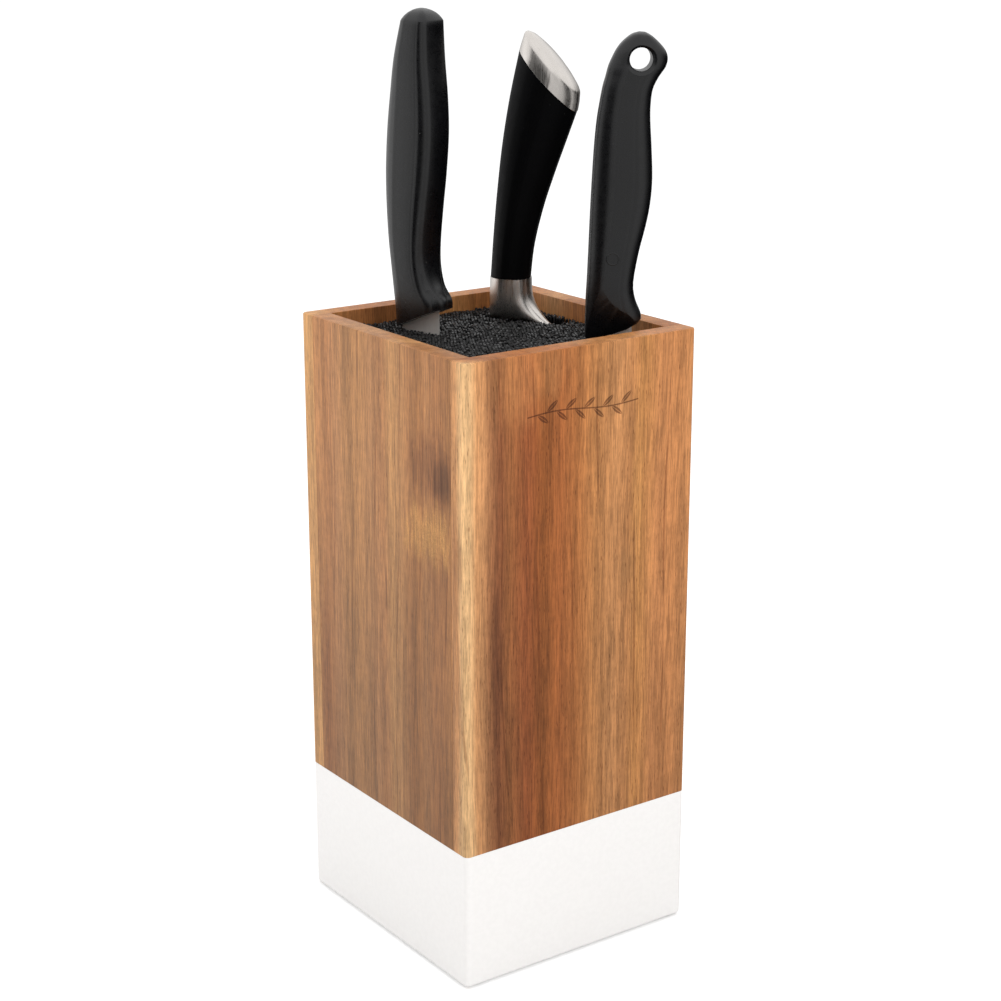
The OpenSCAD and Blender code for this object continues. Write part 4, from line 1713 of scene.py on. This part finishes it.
@dataclass
class ParingKnife:
    """The knife at the right: a curved moulded handle with a hanging hole.

    Attributes:
        place: Where it stands.
        blade: Its blade.
        section: The handle's cross-section.
        body: The handle's sections, from the guard up.
        foot: The rounded sections under them.
        hole_x: Place of the hanging hole.
        hole_z: Its height.
        hole: Radius and depth of each ring of the hole, with its flared mouths.
        scoop_x: Centre of the faces that are milled off the guard.
        scoop_z: Its height.
        scoop_r: Radius at which they start.
        scoop_slope: How fast they go in.
        guard_half: Half the guard's thickness where they start.
        mark: Centre of the small raised ring.
        mark_r: Its radius.
        mark_wire: Radius of its bead.
    """

    place: Stand
    blade: Blade = Blade(-9.1, 14.5, 0.7, 9.0, 105.0, 0.68, -7.0)
    section: Outline = Outline(0.78, 0.50, 0.04, 0.12, 9)
    body: tuple[Station, ...] = (
        Station(-11.4, 0.9, 8.6, 7.9, 5.6),
        Station(-11.4, 5.5, 8.3, 10.1, 5.7),
        Station(-11.2, 15.0, 6.3, 15.0, 6.0),
        Station(-10.9, 21.0, 5.6, 21.0, 6.3),
        Station(-10.5, 31.5, 7.3, 31.5, 6.5),
        Station(-10.2, 40.5, 9.5, 40.5, 6.5),
        Station(-9.9, 48.5, 11.0, 48.5, 6.5),
        Station(-9.5, 57.5, 11.6, 57.5, 6.5),
        Station(-8.9, 68.5, 11.1, 68.5, 6.4),
        Station(-8.1, 77.5, 10.5, 77.5, 6.2),
        Station(-7.1, 84.0, 10.5, 83.0, 6.0),
        Station(-6.2, 89.0, 11.1, 88.0, 5.9),
        Station(-5.2, 92.6, 12.7, 91.6, 5.8),
        Station(-4.6, 95.0, 14.3, 94.0, 5.8),
        Station(-4.0, 96.8, 15.5, 95.8, 5.7),
        Station(-2.7, 99.6, 16.1, 98.2, 5.6),
        Station(-1.5, 101.8, 15.6, 100.6, 5.4),
        Station(0.4, 104.2, 13.9, 103.0, 4.9),
        Station(3.4, 106.6, 10.8, 105.9, 3.8),
        Station(6.0, 107.5, 8.4, 107.3, 1.2),
    )
    foot: tuple[Station, ...] = (
        Station(-6.5, 1.0, 0.5, 3.2, 3.6),
        Station(-9.2, 0.5, 4.2, 4.5, 4.8),
        Station(-10.9, 0.45, 7.3, 6.3, 5.4),
    )
    hole_x: float = 6.6
    hole_z: float = 98.4
    hole: tuple[tuple[float, float], ...] = (
        (6.1, -9.0), (5.5, -5.5), (4.9, -5.05), (4.35, -4.75), (4.0, -4.3),
        (4.0, 4.3), (4.35, 4.75), (4.9, 5.05), (5.5, 5.5), (6.1, 9.0),
    )
    scoop_x: float = 6.0
    scoop_z: float = 24.0
    scoop_r: float = 13.6
    scoop_slope: float = 0.29
    guard_half: float = 5.8
    mark: tuple[float, float, float] = (-2.4, -6.34, 29.9)
    mark_r: float = 2.1
    mark_wire: float = 0.28

    def handle(self) -> Piece:
        """Models the handle: body, hanging hole and thinned guard, with a bevel along the rim of its milled
        faces.
        """
        piece = close_up(loft("paring_grip", self.section, [*self.foot, *smooth(self.body, 3)]), 28.0)
        drill = turned("drill", self.hole, 72)
        lay_across(drill, self.hole_x, self.hole_z)
        cut_away(piece, drill)
        cut_away(piece, self.guard_cutter())
        self.mark_rim(piece)
        fix(piece, "BEVEL", width=0.3 * MM, segments=3, limit_method="WEIGHT")
        sharpen(piece, 30.0)
        return piece

    @property
    def peak(self) -> float:
        """Half the thickness that the guard's milled faces would reach at the scoop's centre."""
        return self.guard_half + self.scoop_r * self.scoop_slope

    def mark_rim(self, piece: Piece) -> None:
        """Gives the rim of the milled faces a bevel weight.

        Args:
            piece: The handle, out of edit mode.
        """
        mesh = piece.data
        near, clear_foot, clear_middle = 0.03, 1.5, 2.0
        owners: dict[tuple[int, int], list[bool]] = {}
        for face in mesh.polygons:
            x, y, z = face.center / MM
            level = self.peak - self.scoop_slope * math.hypot(x - self.scoop_x, z - self.scoop_z)
            milled = abs(abs(y) - level) < near and abs(face.normal.y) > 0.9
            for key in face.edge_keys:
                owners.setdefault(key, []).append(milled)
        weights = mesh.attributes.new("bevel_weight_edge", "FLOAT", "EDGE")
        for edge in mesh.edges:
            if sum(owners[edge.key]) == 1:
                middle = sum((mesh.vertices[v].co for v in edge.vertices), Vector()) / 2 / MM
                rim = middle.z > clear_foot and abs(middle.y) > clear_middle
                weights.data[edge.index].value = float(rim)

    def guard_cutter(self) -> Piece:
        """What is milled off both sides of the guard: a slab outside a double cone.

        Returns:
            The cutter, in the knife's own frame.
        """
        axis_r, reach = 0.01, self.peak / self.scoop_slope
        lens = turned("lens", ((axis_r, -self.peak), (reach, 0.0), (axis_r, self.peak)), 128)
        lay_across(lens, self.scoop_x, self.scoop_z)
        put_down()
        bpy.ops.mesh.primitive_cube_add(size=1.0)
        slab = bpy.context.object
        wide, deep, tall = 50 * MM, 30 * MM, 40 * MM
        slab.scale = (wide, deep, tall)
        slab.location = (0, 0, self.scoop_z * MM - tall / 2)
        bpy.ops.object.transform_apply(location=True, rotation=True, scale=True)
        slab.name = "guard_cutter"
        cut_away(slab, lens)
        return slab

    def ring_mark(self) -> Piece:
        """Models the small raised ring on the handle's left side."""
        put_down()
        bpy.ops.mesh.primitive_torus_add(
            major_radius=self.mark_r * MM, minor_radius=self.mark_wire * MM,
            major_segments=48, minor_segments=10,
            location=[c * MM for c in self.mark], rotation=(math.radians(90), 0, 0),
        )
        piece = begin("paring_mark")
        scale_by(1, 0.9, 1, self.mark)
        return close_up(piece)

    def build(self, looks: Finishes) -> None:
        """Models, dresses and places the knife."""
        handle = self.handle()
        mark = self.ring_mark()
        take_up(handle)
        mark.select_set(True)
        bpy.ops.object.join()
        assemble(self.place, looks, "paring_knife", (
            (self.blade.build("paring_knife_blade"), "blade_steel", "paring_blade"),
            (handle, "handle_plastic", "paring_handle"),
        ))


# ---- the studio ----------------------------------------------------------------------------------


# the way each screen stands, in degrees from +X, and how bright gloss shows it
SCREENS = (
    (-180, 0.02), (-167, 0.0), (-157, 0.03), (-148, 0.60), (-138, 1.05), (-120, 0.72), (-104, 0.95),
    (-74, 0.95), (-52, 0.15), (-34, 0.0), (4, 0.0), (28, 0.35), (60, 0.55), (95, 0.95), (125, 1.50),
    (152, 1.15), (162, 0.70), (171, 0.06), (180, 0.02),
)


def grey(level: float) -> tuple[float, float, float, float]:
    """A grey of this level."""
    return (level, level, level, 1.0)


@dataclass
class Studio:
    """A pale floor, soft light and the camera.

    Attributes:
        eye: Place of the camera, in metres.
        azimuth: The way it looks, in degrees; 0 looks along +Y.
        elevation: How far it looks down, in degrees.
        lens: Focal length on a 36 mm frame.
        day: Strength of the even light.
        ceiling: Strength of the overhead screen that gloss shows.
        lift: How far the floor is lifted towards white where the camera sees it.
    """

    eye: tuple[float, float, float] = (-0.430, -0.606, 0.385)
    azimuth: float = -35.5
    elevation: float = 16.7
    lens: float = 75.6
    day: float = 0.85
    ceiling: float = 1.25
    lift: float = 0.22

    def camera(self) -> None:
        """Sets up the camera."""
        a, e = math.radians(self.azimuth), math.radians(self.elevation)
        back = Vector((math.sin(a) * math.cos(e), -math.cos(a) * math.cos(e), math.sin(e)))
        right = (-back).cross(Vector((0, 0, 1))).normalized()
        data = bpy.data.cameras.new("camera")
        data.lens, data.sensor_width = self.lens, 36.0
        data.clip_start, data.clip_end = 0.01, 100.0
        eye = bpy.data.objects.new("camera", data)
        turn = Matrix((right, back.cross(right), back)).transposed()
        eye.matrix_world = Matrix.Translation(self.eye) @ turn.to_4x4()
        bpy.context.scene.collection.objects.link(eye)
        bpy.context.scene.camera = eye

    def floor(self) -> None:
        """Lays a plain pale floor."""
        put_down()
        bpy.ops.mesh.primitive_plane_add(size=30.0)
        ground = bpy.context.object
        ground.name = "floor"
        made, g, shader = new_material("floor")
        fine = g.noise(g.scaled(place_on(g), 40.0), detail=2.0)
        tone = g.spread(fine, 0.3, 0.7, 0.995, 1.0)
        g.feed(shader.inputs["Base Color"], g.scaled(grey(0.97), tone))
        shader.inputs["Roughness"].default_value = 0.9
        shader.inputs["Specular IOR Level"].default_value = 0.0
        shader.inputs["Emission Color"].default_value = grey(1.0)
        seen = g.add("ShaderNodeLightPath").outputs["Is Camera Ray"]
        g.feed(shader.inputs["Emission Strength"], g.times(seen, self.lift))
        ground.data.materials.append(made)
        ground.visible_glossy = False

    def sky(self) -> None:
        """Even light for everything, and bright and dark screens that only gloss shows."""
        world = bpy.data.worlds.new("studio")
        bpy.context.scene.world = world
        world.use_nodes = True
        world.cycles.sampling_method = "NONE"
        world.node_tree.nodes.clear()
        g = Graph(world.node_tree)
        x, y, z = g.split(g.add("ShaderNodeTexCoord").outputs["Generated"])
        round_about = g.plus(g.over(g.math("ARCTAN2", y, x), math.tau), 0.5)
        stops = [((azimuth + 180) / 360, grey(level)) for azimuth, level in SCREENS]
        screens = g.ramp(round_about, stops, "EASE")
        screens = g.scaled(screens, g.spread(z, -0.72, -0.38, 0.08, 1.0))
        overhead = g.spread(z, 0.12, 0.40, 0.0, 1.0)
        gloss = g.mix(overhead, screens, grey(self.ceiling))
        path = g.add("ShaderNodeLightPath")
        light = g.mix(path.outputs["Is Glossy Ray"], grey(self.day), gloss)
        light = g.mix(path.outputs["Is Camera Ray"], light, grey(1.0))
        shine = g.add("ShaderNodeBackground")
        g.feed(shine.inputs["Color"], light)
        out = g.add("ShaderNodeOutputWorld")
        g.feed(out.inputs["Surface"], shine.outputs[0])

    def lamp(self, name: str, place: Sequence[float], size: float, watts: float) -> None:
        """Hangs one soft box that faces the block and shows in no reflection."""
        data = bpy.data.lights.new(name, "AREA")
        data.shape, data.size, data.energy = "DISK", size, watts
        lamp = bpy.data.objects.new(name, data)
        lamp.location = place
        aim = Vector((0, 0, 0.15)) - Vector(place)
        lamp.rotation_euler = aim.to_track_quat("-Z", "Y").to_euler()
        lamp.visible_glossy = False
        lamp.visible_camera = False
        bpy.context.scene.collection.objects.link(lamp)

    def build(self) -> None:
        """Sets up the whole studio."""
        self.camera()
        self.floor()
        self.sky()
        self.lamp("left_box", (-1.3, 0.5, 1.1), 1.1, 3.0)
        self.lamp("front_box", (0.2, -1.5, 1.0), 1.1, 6.0)
        self.lamp("top_box", (0.1, 0.2, 1.8), 1.2, 6.0)
        bpy.context.scene.view_settings.view_transform = "Standard"


# ---- the whole -----------------------------------------------------------------------------------


# each knife's distance from the board beside it and from the back or front board, and the way its
# cutting edge looks, in degrees from +X
UTILITY_STAND = (24.8, 21.5, -76.0)
SLICING_STAND = (16.5, 23.5, -58.0)
PARING_STAND = (11.0, 13.5, -33.0)


def main() -> None:
    """Builds everything in order."""
    logging.basicConfig(level=logging.INFO, format="%(name)s: %(message)s")
    studio = Studio()
    studio.build()
    make_groups()
    box = WoodenBox()
    looks = Finishes(box)
    box.build(looks)
    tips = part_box("rod_pack")[1].z / MM
    left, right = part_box("left_board")[1].x / MM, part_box("right_board")[0].x / MM
    back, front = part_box("back_board")[0].y / MM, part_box("front_board")[1].y / MM
    across, deep, turn = UTILITY_STAND
    utility = UtilityKnife(Stand(left + across, back - deep, tips, turn))
    across, deep, turn = SLICING_STAND
    slicing = SlicingKnife(Stand(right - across, back - deep, tips, turn))
    across, deep, turn = PARING_STAND
    paring = ParingKnife(Stand(right - across, front + deep, tips, turn))
    knives = (utility, slicing, paring)
    slots = [knife.blade.slot(knife.place) for knife in knives]
    RodInsert().build(looks, slots, slicing.root(), slicing.root_depth)
    for knife in knives:
        knife.build(looks)
    put_down()


if __name__ == "__main__":
    main()
